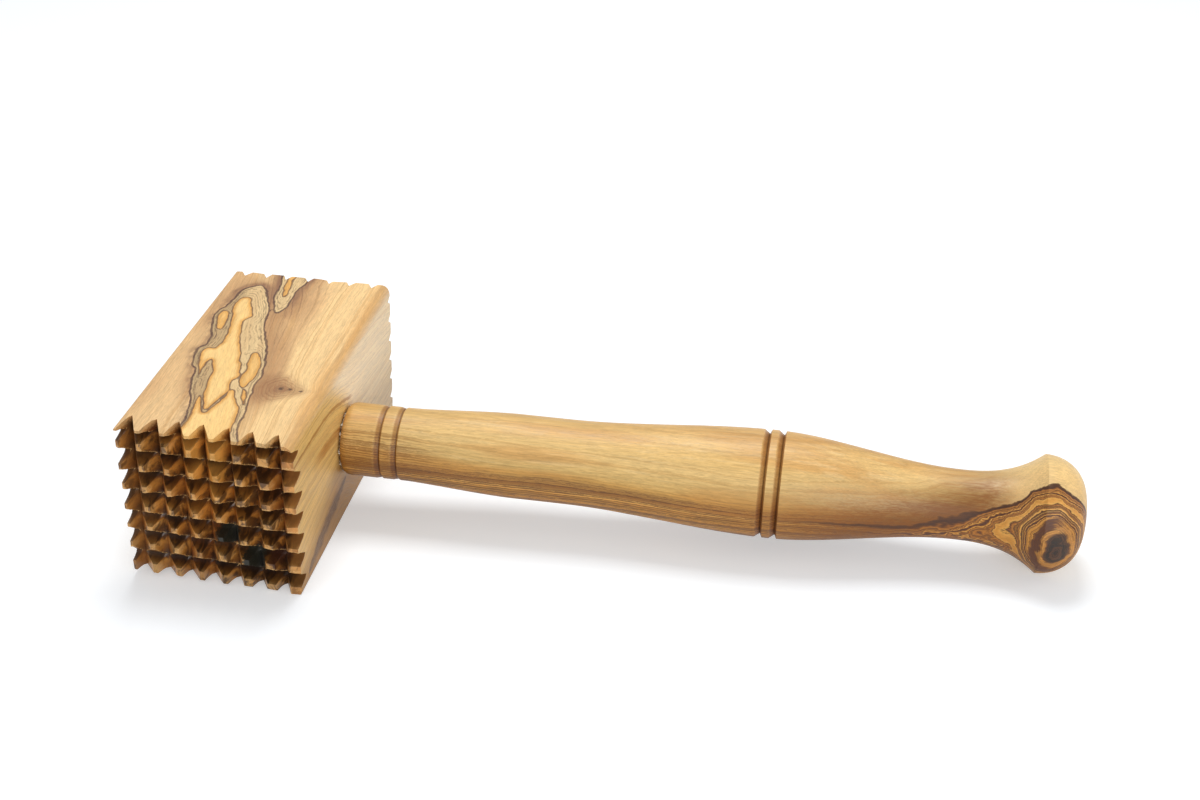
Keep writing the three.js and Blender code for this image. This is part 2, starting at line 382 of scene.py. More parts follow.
def socket_rings(start):
    """Circles from the skin's patch into the socket, at the angles of the points they start from."""
    angle = np.arctan2(start[:, 2] - AXIS_Z, start[:, 1] - AXIS_Y)
    steps = [(0.0, SOCKET_RADIUS + SOCKET_BEVEL), (SOCKET_BEVEL, SOCKET_RADIUS)]
    steps += [(depth, SOCKET_RADIUS) for depth in np.linspace(SOCKET_BEVEL, SOCKET_DEPTH, 8)[1:]]
    steps += [(SOCKET_DEPTH, SOCKET_RADIUS * share) for share in (0.6, 0.25)]
    depth, radius = np.array(steps).T[..., None]
    across, up = radius * np.cos(angle), radius * np.sin(angle)
    return np.stack([HALF_WIDTH - depth + 0 * across, AXIS_Y + across, AXIS_Z + up], -1)


print("the socket is", round(2 * SOCKET_RADIUS, 2), "mm wide and", round(SOCKET_DEPTH, 2), "mm deep")

# %% Build the head's skin
RINGS = 108
CROWDING = 0.35  # rings lie closer together at the ends by this share
PLANING_WAVE, WAVE_SIZE = 0.1, 14.0
FACE_TOLERANCE = 0.01
front_x, front_z, front_depth, front_rise, front_row_rise, front_edge, front_column, front_row = coarse_end
back_x, back_z, back_depth, back_rise, back_row_rise, back_edge, back_column, back_row = fine_end
front_points = np.stack([front_x, -HALF_LENGTH + front_depth, front_z], -1)
back_points = np.stack([back_x, HALF_LENGTH - back_depth, back_z], -1)

share = np.linspace(0, 1, RINGS + 1)
share = share - CROWDING * np.sin(2 * np.pi * share) / (2 * np.pi)
front_rim, back_rim = rim(front_points), rim(back_points)
skin = front_rim[:, None] + (back_rim - front_rim)[:, None] * share[None, 1:-1, None]
wave = PLANING_WAVE * (1 + smooth_noise(skin * (1, 0.35, 1), WAVE_SIZE)) / 2
off_centre = skin - (0, 0, HEIGHT / 2)
on_face = np.abs(np.abs(off_centre) - [HALF_WIDTH, 0, HEIGHT / 2]) < FACE_TOLERANCE
skin = skin - np.sign(off_centre) * on_face * (1, 0, 1) * wave[..., None]

front_number = np.arange(front_x.size).reshape(front_x.shape)
back_number = front_number + front_x.size
skin_number = 2 * front_x.size + np.arange(skin[..., 0].size).reshape(skin.shape[:2])
walk = np.concatenate([rim(front_number)[:, None], skin_number, rim(back_number)[:, None]], 1)
walk_on = np.roll(walk, -1, 0)
front_faces = cap_faces(front_depth, front_number, turned=False)
back_faces = cap_faces(back_depth, back_number, turned=True)
skin_faces = np.stack([walk[:, :-1], walk[:, 1:], walk_on[:, 1:], walk_on[:, :-1]], -1)
print(len(walk), "lines of points run along the block")

# %% Cut the socket's patch out of the skin and lead rings into the socket
points = np.concatenate([part.reshape(-1, 3) for part in (front_points, back_points, skin)])
right_face = front_x.shape[0] - 1 + np.arange(front_x.shape[1])
patch_z = points[walk[right_face, RINGS // 2], 2]
patch_y = points[walk[right_face[len(right_face) // 2]], 1]
in_z = right_face[np.abs(patch_z - AXIS_Z) < SOCKET_PATCH]
in_y = np.flatnonzero(np.abs(patch_y - AXIS_Y) < SOCKET_PATCH)
first_z, last_z, first_y, last_y = in_z[0], in_z[-1], in_y[0], in_y[-1]
patch = walk[first_z:last_z + 1, first_y:last_y + 1]
keep = np.ones(skin_faces.shape[:2], bool)
keep[first_z:last_z, first_y:last_y] = False
patch_rim = np.concatenate([patch[0, :-1], patch[:-1, -1], patch[-1, :0:-1], patch[:0:-1, 0]])

rings = socket_rings(points[patch_rim])
ring_numbers = len(points) + np.arange(rings[..., 0].size).reshape(rings.shape[:2])
ring_numbers = np.concatenate([patch_rim[None, :], ring_numbers])
socket_middle = (HALF_WIDTH - SOCKET_DEPTH, AXIS_Y, AXIS_Z)
points = np.concatenate([points, rings.reshape(-1, 3), [socket_middle]])
parts = [
    np.concatenate([front_faces.reshape(-1, 3), back_faces.reshape(-1, 3)]),
    skin_faces[keep],
    strip_faces(ring_numbers[:-1], ring_numbers[1:]),
    fan_faces(ring_numbers[-1], len(points) - 1),
]
used = np.unique(np.concatenate([part.ravel() for part in parts]))
renumber = np.zeros(len(points), int)
renumber[used] = np.arange(len(used))
points = points[used]
parts = [renumber[part] for part in parts]
head = make_piece("mallet_head", points, parts, sharp_angle=38)

# %% [markdown]
# Figure for the head's wood
#
# Olive wood is loved for its figure: a yellow heart with dark outlines in a tan ground. Noise
# alone would grow some figure but not this one, so the figure on the top face is drawn as a
# few closed curves through given points. For every point of the mesh the signed distance to
# the curves is stored, and the shader turns those distances into outlines, rims and bands.
# Lower down in the block the figure fades.

# %% Closed curves and distances to them
CURVE_STEPS = 5
FIGURE_FADE = 0.42  # how much the figure shrinks for each millimetre below the top face


def smooth_loop(corners):
    """A closed curve through the corners.

    Each stretch is a cubic. Its slope at a corner is half the way from the corner before to the
    corner after.
    """
    p1 = np.array(corners, float)
    p0, p2, p3 = np.roll(p1, 1, 0), np.roll(p1, -1, 0), np.roll(p1, -2, 0)
    t = (np.arange(CURVE_STEPS) / CURVE_STEPS)[None, :, None]
    p0, p1, p2, p3 = (p[:, None] for p in (p0, p1, p2, p3))
    curve = p1 + 0.5 * t * (p2 - p0 + t * (2 * p0 - 5 * p1 + 4 * p2 - p3 + t * (3 * (p1 - p2) + p3 - p0)))
    return curve.reshape(-1, 2)


def signed_distance(places, corners):
    """Distance from each place to a closed curve, negative inside it.

    It is the least distance to any side. A place is inside when a ray to its right crosses an
    odd number of sides.
    """
    loop = smooth_loop(corners)
    best = np.full(len(places), 1e9)
    inside = np.zeros(len(places), bool)
    for a, b in zip(loop, np.roll(loop, -1, 0)):
        side, to = b - a, places - a
        t = np.clip(to @ side / (side @ side), 0, 1)
        best = np.minimum(best, np.hypot(to[:, 0] - t * side[0], to[:, 1] - t * side[1]))
        if a[1] != b[1]:
            spans = (a[1] > places[:, 1]) != (b[1] > places[:, 1])
            crossing = a[0] + (places[:, 1] - a[1]) * side[0] / side[1]
            inside ^= spans & (crossing > places[:, 0])
    return np.where(inside, -best, best)


TEST_LOOP = [(1, 1), (3, 1), (3, 3), (1, 3)]
print("the origin is", signed_distance(np.zeros((1, 2)), TEST_LOOP).round(2), "mm from a test loop")

# %% The curves of the figure, seen from above
ISLAND = [
    (-8.5, -62), (-8.8, -50), (-10.5, -40), (-14, -29), (-16.5, -19), (-20, -9), (-21.3, -3.5),
    (-19.8, 2), (-20, 9), (-22.5, 16), (-24, 23), (-22.6, 30), (-21.8, 38), (-20.8, 44),
    (-16.5, 48.5), (-13, 46), (-10.8, 39), (-8.2, 33.5), (-6.4, 27), (-5.4, 19), (-2.5, 11),
    (0.6, 3.5), (3.2, -5), (4.9, -14), (5.6, -26), (7.2, -39), (9.2, -52), (11, -62),
]
BACK_LOOP = [
    (-10.6, 64), (-9.6, 50), (-8.6, 41), (-6.8, 34), (-4.6, 29), (-3, 29.5), (-2.1, 35),
    (-2, 46), (-1, 56), (0.5, 64),
]
HEART = [
    (-5, -40.8), (-8, -34), (-10.3, -25), (-11.3, -17), (-13, -11), (-14.3, -8.8), (-15, -12),
    (-14.3, -20.5), (-16.2, -16), (-18, -10), (-19.5, -4), (-18.5, -1), (-16, -0.5),
    (-15.2, 4), (-15.6, 11), (-16.6, 18), (-18, 23.5), (-19.6, 28), (-20.2, 34), (-19, 38),
    (-16, 38.2), (-14.6, 34), (-12.5, 28), (-11.2, 24.5), (-12.8, 20.5), (-12, 15), (-10, 8),
    (-7.6, 1), (-5.2, -6), (-3, -13), (-1.9, -18), (-3.1, -21.5), (-2, -27), (-2.8, -33),
]
SIDE_LOBE = [(-22.4, 25.5), (-20.6, 26.6), (-19.2, 23), (-18.4, 17), (-18.3, 13), (-20.2, 14), (-22, 19.5)]
AMBER_LOBE = [
    (-1.2, -0.8), (1.2, -4.5), (3, -10), (3.2, -18), (2.4, -24.6), (0.2, -23.4), (-1, -19),
    (-0.9, -13), (-2.2, -7), (-2.6, -2.5),
]
APRON = [
    (-7.9, -62), (-8.1, -50), (-9, -40), (-9.9, -32.5), (-8, -36), (-5, -43), (-2.6, -36),
    (-1.4, -27.5), (0, -27.5), (2.4, -33), (5, -38), (6.3, -45), (7.4, -54), (8.6, -62),
]
EYE = [(-8.2, 64), (-8, 52), (-7, 45.5), (-5.6, 41.5), (-4.9, 43.5), (-5.6, 50), (-6.2, 58), (-6.4, 64)]
PALE_RAY = [(2.2, -25.6), (4, -27.2), (5, -31.5), (6, -36), (4.6, -34), (3, -30)]
YELLOW_CURVES = [HEART, SIDE_LOBE, AMBER_LOBE, APRON, EYE, PALE_RAY]


def curve_distance(curves):
    """Signed distance to the nearest of the curves, growing with the depth below the top face."""
    nearest = np.min([signed_distance(points[:, :2], curve) for curve in curves], 0)
    return nearest + (HEIGHT - points[:, 2]) * FIGURE_FADE


island, heart = curve_distance([ISLAND, BACK_LOOP]), curve_distance(YELLOW_CURVES)
in_island, out_of_heart = np.clip(-island, 0, None), np.clip(heart, 0, None)
store(head, "island", island)
store(head, "between", in_island / (in_island + out_of_heart + 0.01))
store(head, "heart", heart)
store(head, "amber", curve_distance([AMBER_LOBE, SIDE_LOBE]))
print("figure covers", int((island < 0).sum()), "points")

# %% [markdown]
# Directions of the grain
#
# Grain is noise stretched along the fibres. Where fibres bend round a knot or sweep down a
# face, the place that the noise is looked up at is bent instead. So each point stores a
# grain place: the two numbers across the fibres, and the one along them.

# %% Grain places of the top face
KNOT = (13.5, -23.0)
KNOT_SQUASH = 0.72  # the knot's rings are narrower across the head than along it
DROP_LENGTH, DROP_TAPER = 0.45, 0.12  # towards the handle they are drawn out like a drop
LEAN, LEAN_REACH = 0.2, 15.0  # fibres lean beside the figure
PUSH, PUSH_WIDTH, PUSH_REACH = 3.4, 3.0, 9.0  # and step aside for the knot
x, y, z = points.T
past_knot = np.clip(x - KNOT[0], 0, None)
from_knot = np.hypot(
    (x - KNOT[0] - past_knot * DROP_LENGTH) / KNOT_SQUASH, (y - KNOT[1]) * (1 + past_knot * DROP_TAPER))
near_top = smooth_step(z, HEIGHT - 14, HEIGHT - 1)
lean = LEAN * np.exp(-((x + 4 + 0.13 * y) / LEAN_REACH) ** 2) * y
push = PUSH * np.tanh((x - KNOT[0]) / PUSH_WIDTH) * np.exp(-(from_knot / PUSH_REACH) ** 2)
store(head, "grain", np.stack([x + (lean - push) * near_top, y, z], -1))
store(head, "knot", from_knot + (HEIGHT - z) * 1.5)
print("closest point to the knot", from_knot.min().round(2), "mm")

# %% Grain places of the right face, and its dark streak
LENS_START, LENS_END, LENS_HALF = (-48.0, 2.6), (-3.0, 12.6), 3.2
sweep = 0.56 * np.logaddexp(0, (y + 10) / 9) * 9 - 0.42 * np.logaddexp(0, (y - 6) / 5) * 5
climb = -0.2 * (y + HALF_LENGTH) * (1 - smooth_step(y, -14, 14))
upper = smooth_step(z, 14, 34)
store(head, "side_grain", np.stack([x, y, z + sweep * upper + climb * (1 - upper)], -1))
near_right = smooth_step(x, HALF_WIDTH - 1.6, HALF_WIDTH - 0.4)
store(head, "right", near_right)
along = np.clip((y - LENS_START[0]) / (LENS_END[0] - LENS_START[0]), 0, 1)
middle = LENS_START[1] + (LENS_END[1] - LENS_START[1]) * along ** 0.8
half = LENS_HALF * np.sqrt(4 * along * (1 - along)) + 0.01
store(head, "lens", (1 - np.abs(z - middle) / half).clip(-3, 1) - 3 * (1 - near_right))
print("the side's lines climb by up to", sweep.max().round(1), "mm")

# %% [markdown]
# Marks of the teeth
#
# Two teeth are stained almost black and one is torn. The teeth also differ a little in tone.
# These could be painted, but numbers on points and faces do the same and stay sharp: the
# distance to each stain, whether a face was cut by the saw, which way it looks, and two random
# numbers for its tooth. Which way a face looks is used to paint light and shade on the flanks.

# %% Stains, cut faces and a tone for each tooth
STAINS = [((4.4, -53.0, 17.0), (4.4, 9.0, 4.2)), ((12.8, -53.0, 9.6), (4.2, 9.0, 5.0))]
TORN = ((21.3, -53.5, 11.6), (4.0, 9.0, 3.6))
stain = np.full(len(points), 9.0)
for place, spread in STAINS:
    stain = np.minimum(stain, np.linalg.norm((points - place) / spread, axis=1))
store(head, "stain", stain)
store(head, "torn", np.linalg.norm((points - TORN[0]) / TORN[1], axis=1))

for name, front_values, back_values in [
    ("rise", front_rise, back_rise),
    ("row_rise", front_row_rise, back_row_rise),
    ("edge", front_edge, back_edge),
]:
    values = np.zeros(len(renumber))
    values[front_number], values[back_number] = front_values, back_values
    store(head, name, values[used])

corners = points[parts[0]]
facing = np.cross(corners[:, 1] - corners[:, 0], corners[:, 2] - corners[:, 0])
facing = facing / np.linalg.norm(facing, axis=1, keepdims=True)
tones = rng.random((2, 2, 8, 8))


def tooth_values(channel):
    """A random number of its tooth for both triangles of each cell of both ends."""
    ends = [(front_column, front_row), (back_column, back_row)]
    return np.concatenate([
        np.repeat(table[channel][np.ix_(columns[1:], rows[1:])].ravel(), 2)
        for (columns, rows), table in zip(ends, tones)])


uncut = sum(len(part) for part in parts[1:])
for name, values, elsewhere in [
    ("cut", np.ones(len(facing)), 0.0),
    ("sideways", facing[:, 0], 0.0),
    ("upwards", facing[:, 2], 0.0),
    ("tooth_tone", tooth_values(0), 0.5),
    ("tooth_red", tooth_values(1), 0.5),
]:
    store(head, name, np.concatenate([values, np.full(uncut, elsewhere)]), "FACE")
print("stored", [layer.name for layer in head.data.attributes if not layer.name.startswith(".")])

# %% [markdown]
# The turned handle
#
# A turned piece is a profile carried round an axis. The profile is a row of stations along
# the axis, each with a radius: a tenon in the head, a rounded shoulder, a collar with two soft
# grooves, a waist, a bulge with two crisp grooves, a neck, and a pommel with a sharp ridge and
# a flattened dome. Between the named stations the radius follows cubics. A screw modifier could
# carry the profile round, but with arrays the shallow waves that a lathe leaves cost one line.

# %% Sizes of the handle, from the head's face outwards
SHOULDER_GAP = ring_high[0] - HALF_WIDTH
TENON_RADIUS = 8.5
TENON_LENGTH = HALF_WIDTH - handle_low[0]
COLLAR_RADIUS, COLLAR_END, COLLAR_SLOPE = 12.25, 22.0, 0.03
SHOULDER_ALONG, SHOULDER_ACROSS = 2.8, 1.8
WAIST_RADIUS, WAIST_START, WAIST_END = 14.1, 60.0, 75.0
BULGE_RADIUS, BULGE_AT = 17.78, 143.0
NECK_RADIUS, NECK_AT = 11.42, 203.0
RIDGE_RADIUS, RIDGE_AT, RIDGE_SLOPE = 19.25, 229.3, 0.8
REACH = handle_high[0] - HALF_WIDTH
DOME_SQUARENESS = 3.0
# start, long flank, short flank, depth
TURNED_GROOVES = [
    (12.0, 1.9, 0.6, 0.5), (17.7, 1.9, 0.6, 0.5), (139.05, 1.9, 0.65, 1.4), (143.8, 1.9, 0.65, 1.4),
]
AROUND = 176
STATION_STEP = 0.85
print("the handle reaches", round(REACH, 2), "mm out of the head, with", len(TURNED_GROOVES), "grooves")


# %% The profile of the handle
def cubic(s, start, end):
    """A radius that leaves `start` and reaches `end`, each a station, a radius and a slope.

    With t from 0 to 1 it is (2t^3 - 3t^2 + 1) r0 + (t^3 - 2t^2 + t) h m0 and its mirror image.
    """
    (s0, r0, m0), (s1, r1, m1) = start, end
    h = s1 - s0
    t = np.clip((s - s0) / h, 0, 1)
    return ((2 * t**3 - 3 * t**2 + 1) * r0 + (t**3 - 2 * t**2 + t) * h * m0
            + (3 * t**2 - 2 * t**3) * r1 + (t**3 - t**2) * h * m1)


def grip_radius(s):
    """The handle's radius from the end of the shoulder to the pommel's ridge.

    Each groove takes off a V that grows evenly along its long flank and shrinks along its short one.
    """
    collar = (COLLAR_END, COLLAR_RADIUS, COLLAR_SLOPE)
    radius = np.select(
        [s < COLLAR_END, s < WAIST_START, s < WAIST_END, s < BULGE_AT, s < NECK_AT],
        [
            COLLAR_RADIUS + 0 * s,
            cubic(s, collar, (WAIST_START, WAIST_RADIUS, 0)),
            WAIST_RADIUS + 0 * s,
            cubic(s, (WAIST_END, WAIST_RADIUS, 0), (BULGE_AT, BULGE_RADIUS, 0)),
            cubic(s, (BULGE_AT, BULGE_RADIUS, 0), (NECK_AT, NECK_RADIUS, 0)),
        ],
        cubic(s, (NECK_AT, NECK_RADIUS, 0), (RIDGE_AT, RIDGE_RADIUS, RIDGE_SLOPE)))
    for start, long_flank, short_flank, depth in TURNED_GROOVES:
        bottom = start + long_flank
        radius = radius - depth * np.interp(s, [start, bottom, bottom + short_flank], [0, 1, 0])
    return radius


def handle_profile():
    """Stations and radii from the tenon's end to the tip of the dome.

    The shoulder is a quarter of an ellipse. The dome goes as sin(turn) along the axis and as
    cos(turn)^(2 / squareness) across it.
    """
    turn = np.linspace(0, np.pi / 2, 9)
    tenon = [(-TENON_LENGTH, TENON_RADIUS - 1), (-TENON_LENGTH + 1, TENON_RADIUS)]
    tenon += [(s, TENON_RADIUS) for s in np.linspace(-TENON_LENGTH + 1, SHOULDER_GAP, 12)[1:]]
    shoulder = np.stack([
        SHOULDER_GAP + SHOULDER_ALONG * (1 - np.cos(turn)),
        COLLAR_RADIUS - SHOULDER_ACROSS * (1 - np.sin(turn)),
    ], -1)
    grip = np.arange(SHOULDER_GAP + SHOULDER_ALONG + STATION_STEP, RIDGE_AT, STATION_STEP)
    for start, long_flank, short_flank, _ in TURNED_GROOVES:
        end = start + long_flank + short_flank
        grip = grip[(grip < start - 0.3) | (grip > end + 0.3)]
        down = start + long_flank * np.linspace(0, 1, 5)
        up = start + long_flank + short_flank * np.linspace(0, 1, 4)[1:]
        grip = np.concatenate([grip, [start - 0.25], down, up, [end + 0.25]])
    grip = np.sort(grip)
    grip = grip[grip < RIDGE_AT - 0.6]
    turn = np.linspace(0.07, np.pi / 2, 34)[:-1]
    dome = np.stack([
        RIDGE_AT + (REACH - RIDGE_AT) * np.sin(turn),
        RIDGE_RADIUS * np.cos(turn) ** (2 / DOME_SQUARENESS),
    ], -1)
    ridge = [(RIDGE_AT, RIDGE_RADIUS)]
    return np.concatenate([tenon, shoulder, np.stack([grip, grip_radius(grip)], -1), ridge, dome])


profile = handle_profile()
print(len(profile), "stations, widest", profile[:, 1].max().round(2), "mm")

# %% Turn the profile
LATHE_WAVE, LATHE_WAVE_SIZE = 0.07, 11.0
angle = np.arange(AROUND) * 2 * np.pi / AROUND
s, angle = np.meshgrid(profile[:, 0], angle, indexing="ij")
radius = np.repeat(profile[:, 1:], AROUND, 1)
wave = smooth_noise(np.stack([s, 16 * np.cos(angle), 16 * np.sin(angle)], -1), LATHE_WAVE_SIZE)
radius = radius - LATHE_WAVE * (1 + wave) / 2 * (s > SHOULDER_GAP)
turned = np.stack([HALF_WIDTH + s, AXIS_Y + radius * np.cos(angle), AXIS_Z + radius * np.sin(angle)], -1)
numbers = np.arange(turned.shape[0] * AROUND).reshape(-1, AROUND)
handle_points = np.concatenate([
    turned.reshape(-1, 3),
    [[HALF_WIDTH - TENON_LENGTH, AXIS_Y, AXIS_Z], [HALF_WIDTH + REACH, AXIS_Y, AXIS_Z]],
])
tenon_centre, tip = len(handle_points) - 2, len(handle_points) - 1
handle = make_piece("mallet_handle", handle_points, [
    strip_faces(numbers[1:], numbers[:-1]),
    fan_faces(numbers[0][::-1], tenon_centre),
    fan_faces(numbers[-1], tip),
], sharp_angle=28)

# %% [markdown]
# Figure for the handle's wood
#
# The handle was turned from a stick cut beside the heart of the branch. Year rings are
# cylinders round that heart, so the distance to it tells which ring a point lies in. Near the
# pommel the heart swings round to the front, because a side branch left a knot there, and the
# rings wrap round the knot. Turning cuts through the rings, which draws the lines by itself.

# %% Ring places of the handle
HEART_DISTANCE = 31.0
HEART_ANGLE, HEART_SWING = -60.0, 60.0  # degrees, from straight towards the coarse end upwards
SWING_START, SWING_END = 180.0, 229.0
KNOT_STATION, KNOT_ANGLE = 233.8, -7.0
KNOT_PULL, KNOT_REACH = 13.0, 7.0
RING_SQUASH, BACK_AWAY = 0.68, 30.0  # rings are wider across; the knot is only on the front
s = handle_points[:, 0] - HALF_WIDTH
off_y, off_z = handle_points[:, 1] - AXIS_Y, handle_points[:, 2] - AXIS_Z
heart_angle = np.radians(HEART_ANGLE + HEART_SWING * smooth_step(s, SWING_START, SWING_END))
ring = np.hypot(off_y + HEART_DISTANCE * np.cos(heart_angle), off_z - HEART_DISTANCE * np.sin(heart_angle))
knot_height = RIDGE_RADIUS * math.sin(math.radians(KNOT_ANGLE))
front = smooth_step(-off_y, 0, 8)
handle_knot = np.hypot(s - KNOT_STATION, (off_z - knot_height) * RING_SQUASH) + BACK_AWAY * (1 - front)
ring = ring - KNOT_PULL * np.exp(-(handle_knot / KNOT_REACH) ** 2)
store(handle, "ring", ring)
store(handle, "knot", handle_knot)
store(handle, "wild", smooth_step(s, 166, 202))
store(handle, "station", s)
# How far into each groove a point lies, most at its bottom; the shader paints shade in the grooves from it.
groove_shade_share = np.zeros(len(s))
for start, long_flank, short_flank, _ in TURNED_GROOVES:
    bottom = start + long_flank
    share = np.interp(s, [start, bottom, bottom + short_flank], [0, 1, 0.2], 0, 0)
    groove_shade_share = np.maximum(groove_shade_share, share)
store(handle, "groove", groove_shade_share)
store(handle, "grain", np.stack([off_y, s, off_z], -1))
print("rings from", ring.min().round(1), "to", ring.max().round(1), "mm from the heart")

# %% [markdown]
# Squeezed-out glue
#
# When the handle was driven home, glue came out at the shoulder and set there. It shows as
# pale crumbs in the dark gap. Separate crumbs would hang in the air, so the bead is one thin
# ring whose thickness swells at a few places.

# %% The bead of glue
BEAD_STEPS, BEAD_SECTION = 220, 12
CRUMB_ANGLES = np.radians([76, 52, 36, 2, -24, -36, 120, 165, 214, 262, 300])
CRUMB_SIZES = np.array([0.42, 0.5, 0.36, 0.5, 0.42, 0.3, 0.3, 0.45, 0.35, 0.4, 0.3])
CRUMB_WIDTH = 0.055  # radians
THIN, BEAD_RADIUS = 0.16, 9.75
turn = np.arange(BEAD_STEPS) * 2 * np.pi / BEAD_STEPS
turn, section = np.meshgrid(turn, np.arange(BEAD_SECTION) * 2 * np.pi / BEAD_SECTION, indexing="ij")
apart = np.angle(np.exp(1j * (turn[..., None] - CRUMB_ANGLES)))
swell = (CRUMB_SIZES * np.exp(-(apart / CRUMB_WIDTH) ** 2)).sum(-1)
grit = smooth_noise(np.stack([60 * np.cos(turn), 60 * np.sin(turn), 3 * section], -1), 2.0)
thick = THIN + 0.9 * swell + 0.05 * grit
bead_radius = BEAD_RADIUS + 2.5 * swell + thick * np.cos(section)
half_width = np.clip(thick, 0, 0.26) + 0.25 * swell
bead_x = HALF_WIDTH + SHOULDER_GAP / 2 + 0.35 * swell + half_width * np.sin(section)
bead = np.stack([bead_x, AXIS_Y - bead_radius * np.cos(turn), AXIS_Z + bead_radius * np.sin(turn)], -1)
numbers = np.arange(BEAD_STEPS * BEAD_SECTION).reshape(BEAD_STEPS, BEAD_SECTION)
glue = make_piece("glue_bead", bead.reshape(-1, 3), [strip_faces(numbers, np.roll(numbers, -1, 0))])

# %% [markdown]
# Shader maths as Python
#
# A material is a tree of nodes, and long trees are hard to read as node calls. They could be
# drawn by hand in the shader editor, but a script can be read and changed line by line. Here
# a small class wraps the output of a node, so that ordinary arithmetic places Math nodes.
# Everything else comes from one method that takes the type of a node, its settings and inputs.

# %% Colours and the wrapped output
def colour(code):
    """A colour from its six-digit web code, as the linear numbers that a shader works with."""
    parts = np.array([code >> 16, code >> 8 & 255, code & 255]) / 255
    linear = np.where(parts <= 0.04045, parts / 12.92, ((parts + 0.055) / 1.055) ** 2.4)
    return (*linear.tolist(), 1)


class Wire:
    """An output of a node. Arithmetic on it places Math nodes."""

    def __init__(self, bench, socket):
        self.bench = bench
        self.socket = socket

    def beside(self, name):
        """Another output of the same node."""
        return Wire(self.bench, self.socket.node.outputs[name])

    def __add__(self, other):
        return self.bench.maths("ADD", self, other)

    def __radd__(self, other):
        return self.bench.maths("ADD", other, self)

    def __sub__(self, other):
        return self.bench.maths("SUBTRACT", self, other)

    def __rsub__(self, other):
        return self.bench.maths("SUBTRACT", other, self)

    def __mul__(self, other):
        return self.bench.maths("MULTIPLY", self, other)

    def __rmul__(self, other):
        return self.bench.maths("MULTIPLY", other, self)


def step(value, low, high):
    """0 at low and 1 at high with a smooth step between; low may be the larger."""
    settings = {"interpolation_type": "SMOOTHSTEP"}
    return value.bench.node("MapRange", settings, {"Value": value, "From Min": low, "From Max": high})


def line(value, place, width):
    """1 where value equals place, falling to 0 at a distance of width."""
    return step(value.bench.maths("ABSOLUTE", value - place), width, width * 0.35)


print("white is", colour(0xFFFFFF))


# %% The bench that places nodes
def set_stops(ramp, stops):
    """Fills a colour ramp; each stop is a place from 0 to 1 and a web code."""
    while len(ramp.elements) < len(stops):
        ramp.elements.new(1)
    for element, (place, code) in zip(ramp.elements, stops):
        element.position = place
        element.color = colour(code)


class Bench:
    """A material being made: places nodes and joins them."""

    def __init__(self, name):
        self.material = bpy.data.materials.new(name)
        self.material.use_nodes = True
        self.tree = self.material.node_tree
        self.tree.nodes.clear()

    def node(self, kind, settings=None, inputs=None, output=0):
        """Places a node, sets it, feeds its inputs, and gives back one of its outputs."""
        placed = self.tree.nodes.new("ShaderNode" + kind)
        for name, value in (settings or {}).items():
            if name == "stops":
                set_stops(placed.color_ramp, value)
            else:
                setattr(placed, name, value)
        for name, value in (inputs or {}).items():
            if isinstance(value, Wire):
                self.tree.links.new(value.socket, placed.inputs[name])
            else:
                placed.inputs[name].default_value = value
        return Wire(self, placed.outputs[output]) if len(placed.outputs) else None

    def maths(self, operation, *values):
        return self.node("Math", {"operation": operation}, dict(enumerate(values)))

    def stored(self, name, output=2):
        """A value that the mesh keeps: output 1 is its vector, output 2 its number."""
        return self.node("Attribute", {"attribute_name": name}, output=output)

    def object_place(self):
        """The shaded point in the object's own millimetres."""
        in_mm = {0: self.node("TexCoord", output=3), 1: (1 / MM,) * 3}
        return self.node("VectorMath", {"operation": "MULTIPLY"}, in_mm)

    def parts(self, vector):
        """The X, Y and Z of a vector."""
        split = self.node("SeparateXYZ", None, {0: vector})
        return split, split.beside("Y"), split.beside("Z")


print("a bench can give", [name for name in vars(Bench) if not name.startswith("_")])


# %% Noise, ramps and coats of paint
class PaintBench(Bench):
    """A bench that also knows how to mix and lay colours."""

    def noise(self, place, squeeze, detail=2, roughness=0.5, distortion=0):
        """Noise at a place times `squeeze`, so a small factor draws it out along its axis."""
        squeezed = self.node("VectorMath", {"operation": "MULTIPLY"}, {0: place, 1: squeeze})
        return self.node("TexNoise", None, {
            "Vector": squeezed, "Scale": 1, "Detail": detail,
            "Roughness": roughness, "Distortion": distortion})

    def noise_along(self, value, detail=2, roughness=0.5):
        """Noise that depends on one number only, which makes bands of uneven width."""
        return self.node("TexNoise", {"noise_dimensions": "1D"}, {
            "W": value, "Scale": 1, "Detail": detail, "Roughness": roughness})

    def ramp(self, value, stops):
        """Colours that follow a value."""
        return self.node("ValToRGB", {"stops": stops}, {"Fac": value})

    def mix(self, factor, first, second, mode="MIX"):
        """Blends two colours, each a wire or a web code."""
        first, second = (colour(part) if isinstance(part, int) else part for part in (first, second))
        settings = {"data_type": "RGBA", "blend_type": mode}
        return self.node("Mix", settings, {0: factor, 6: first, 7: second}, 2)

    def shade(self, wood, amount):
        """Multiplies a colour by a grey of the given amount."""
        grey = self.node("CombineColor", None, {"Red": amount, "Green": amount, "Blue": amount})
        return self.mix(1, wood, grey, "MULTIPLY")

    def glaze(self, wood, coats):
        """Lays coats over a wood. Each is where it lies, how strong it is, and its colour."""
        for where, strength, paint in coats:
            wood = self.mix(strength * where, wood, paint)
        return wood

    def finish(self, wood, roughness, height, depth):
        """The final shader: colour and roughness from wires, and a bump from a height."""
        normal = self.node("Bump", None, {"Height": height, "Distance": depth * MM, "Strength": 1})
        shader = self.node("BsdfPrincipled", None, {
            "Base Color": wood, "Roughness": roughness, "Normal": normal})
        self.node("OutputMaterial", None, {"Surface": shader})
        print(self.material.name, "has", len(self.tree.nodes), "nodes")
        return self.material


print("a paint bench adds", [name for name in vars(PaintBench) if not name.startswith("_")])

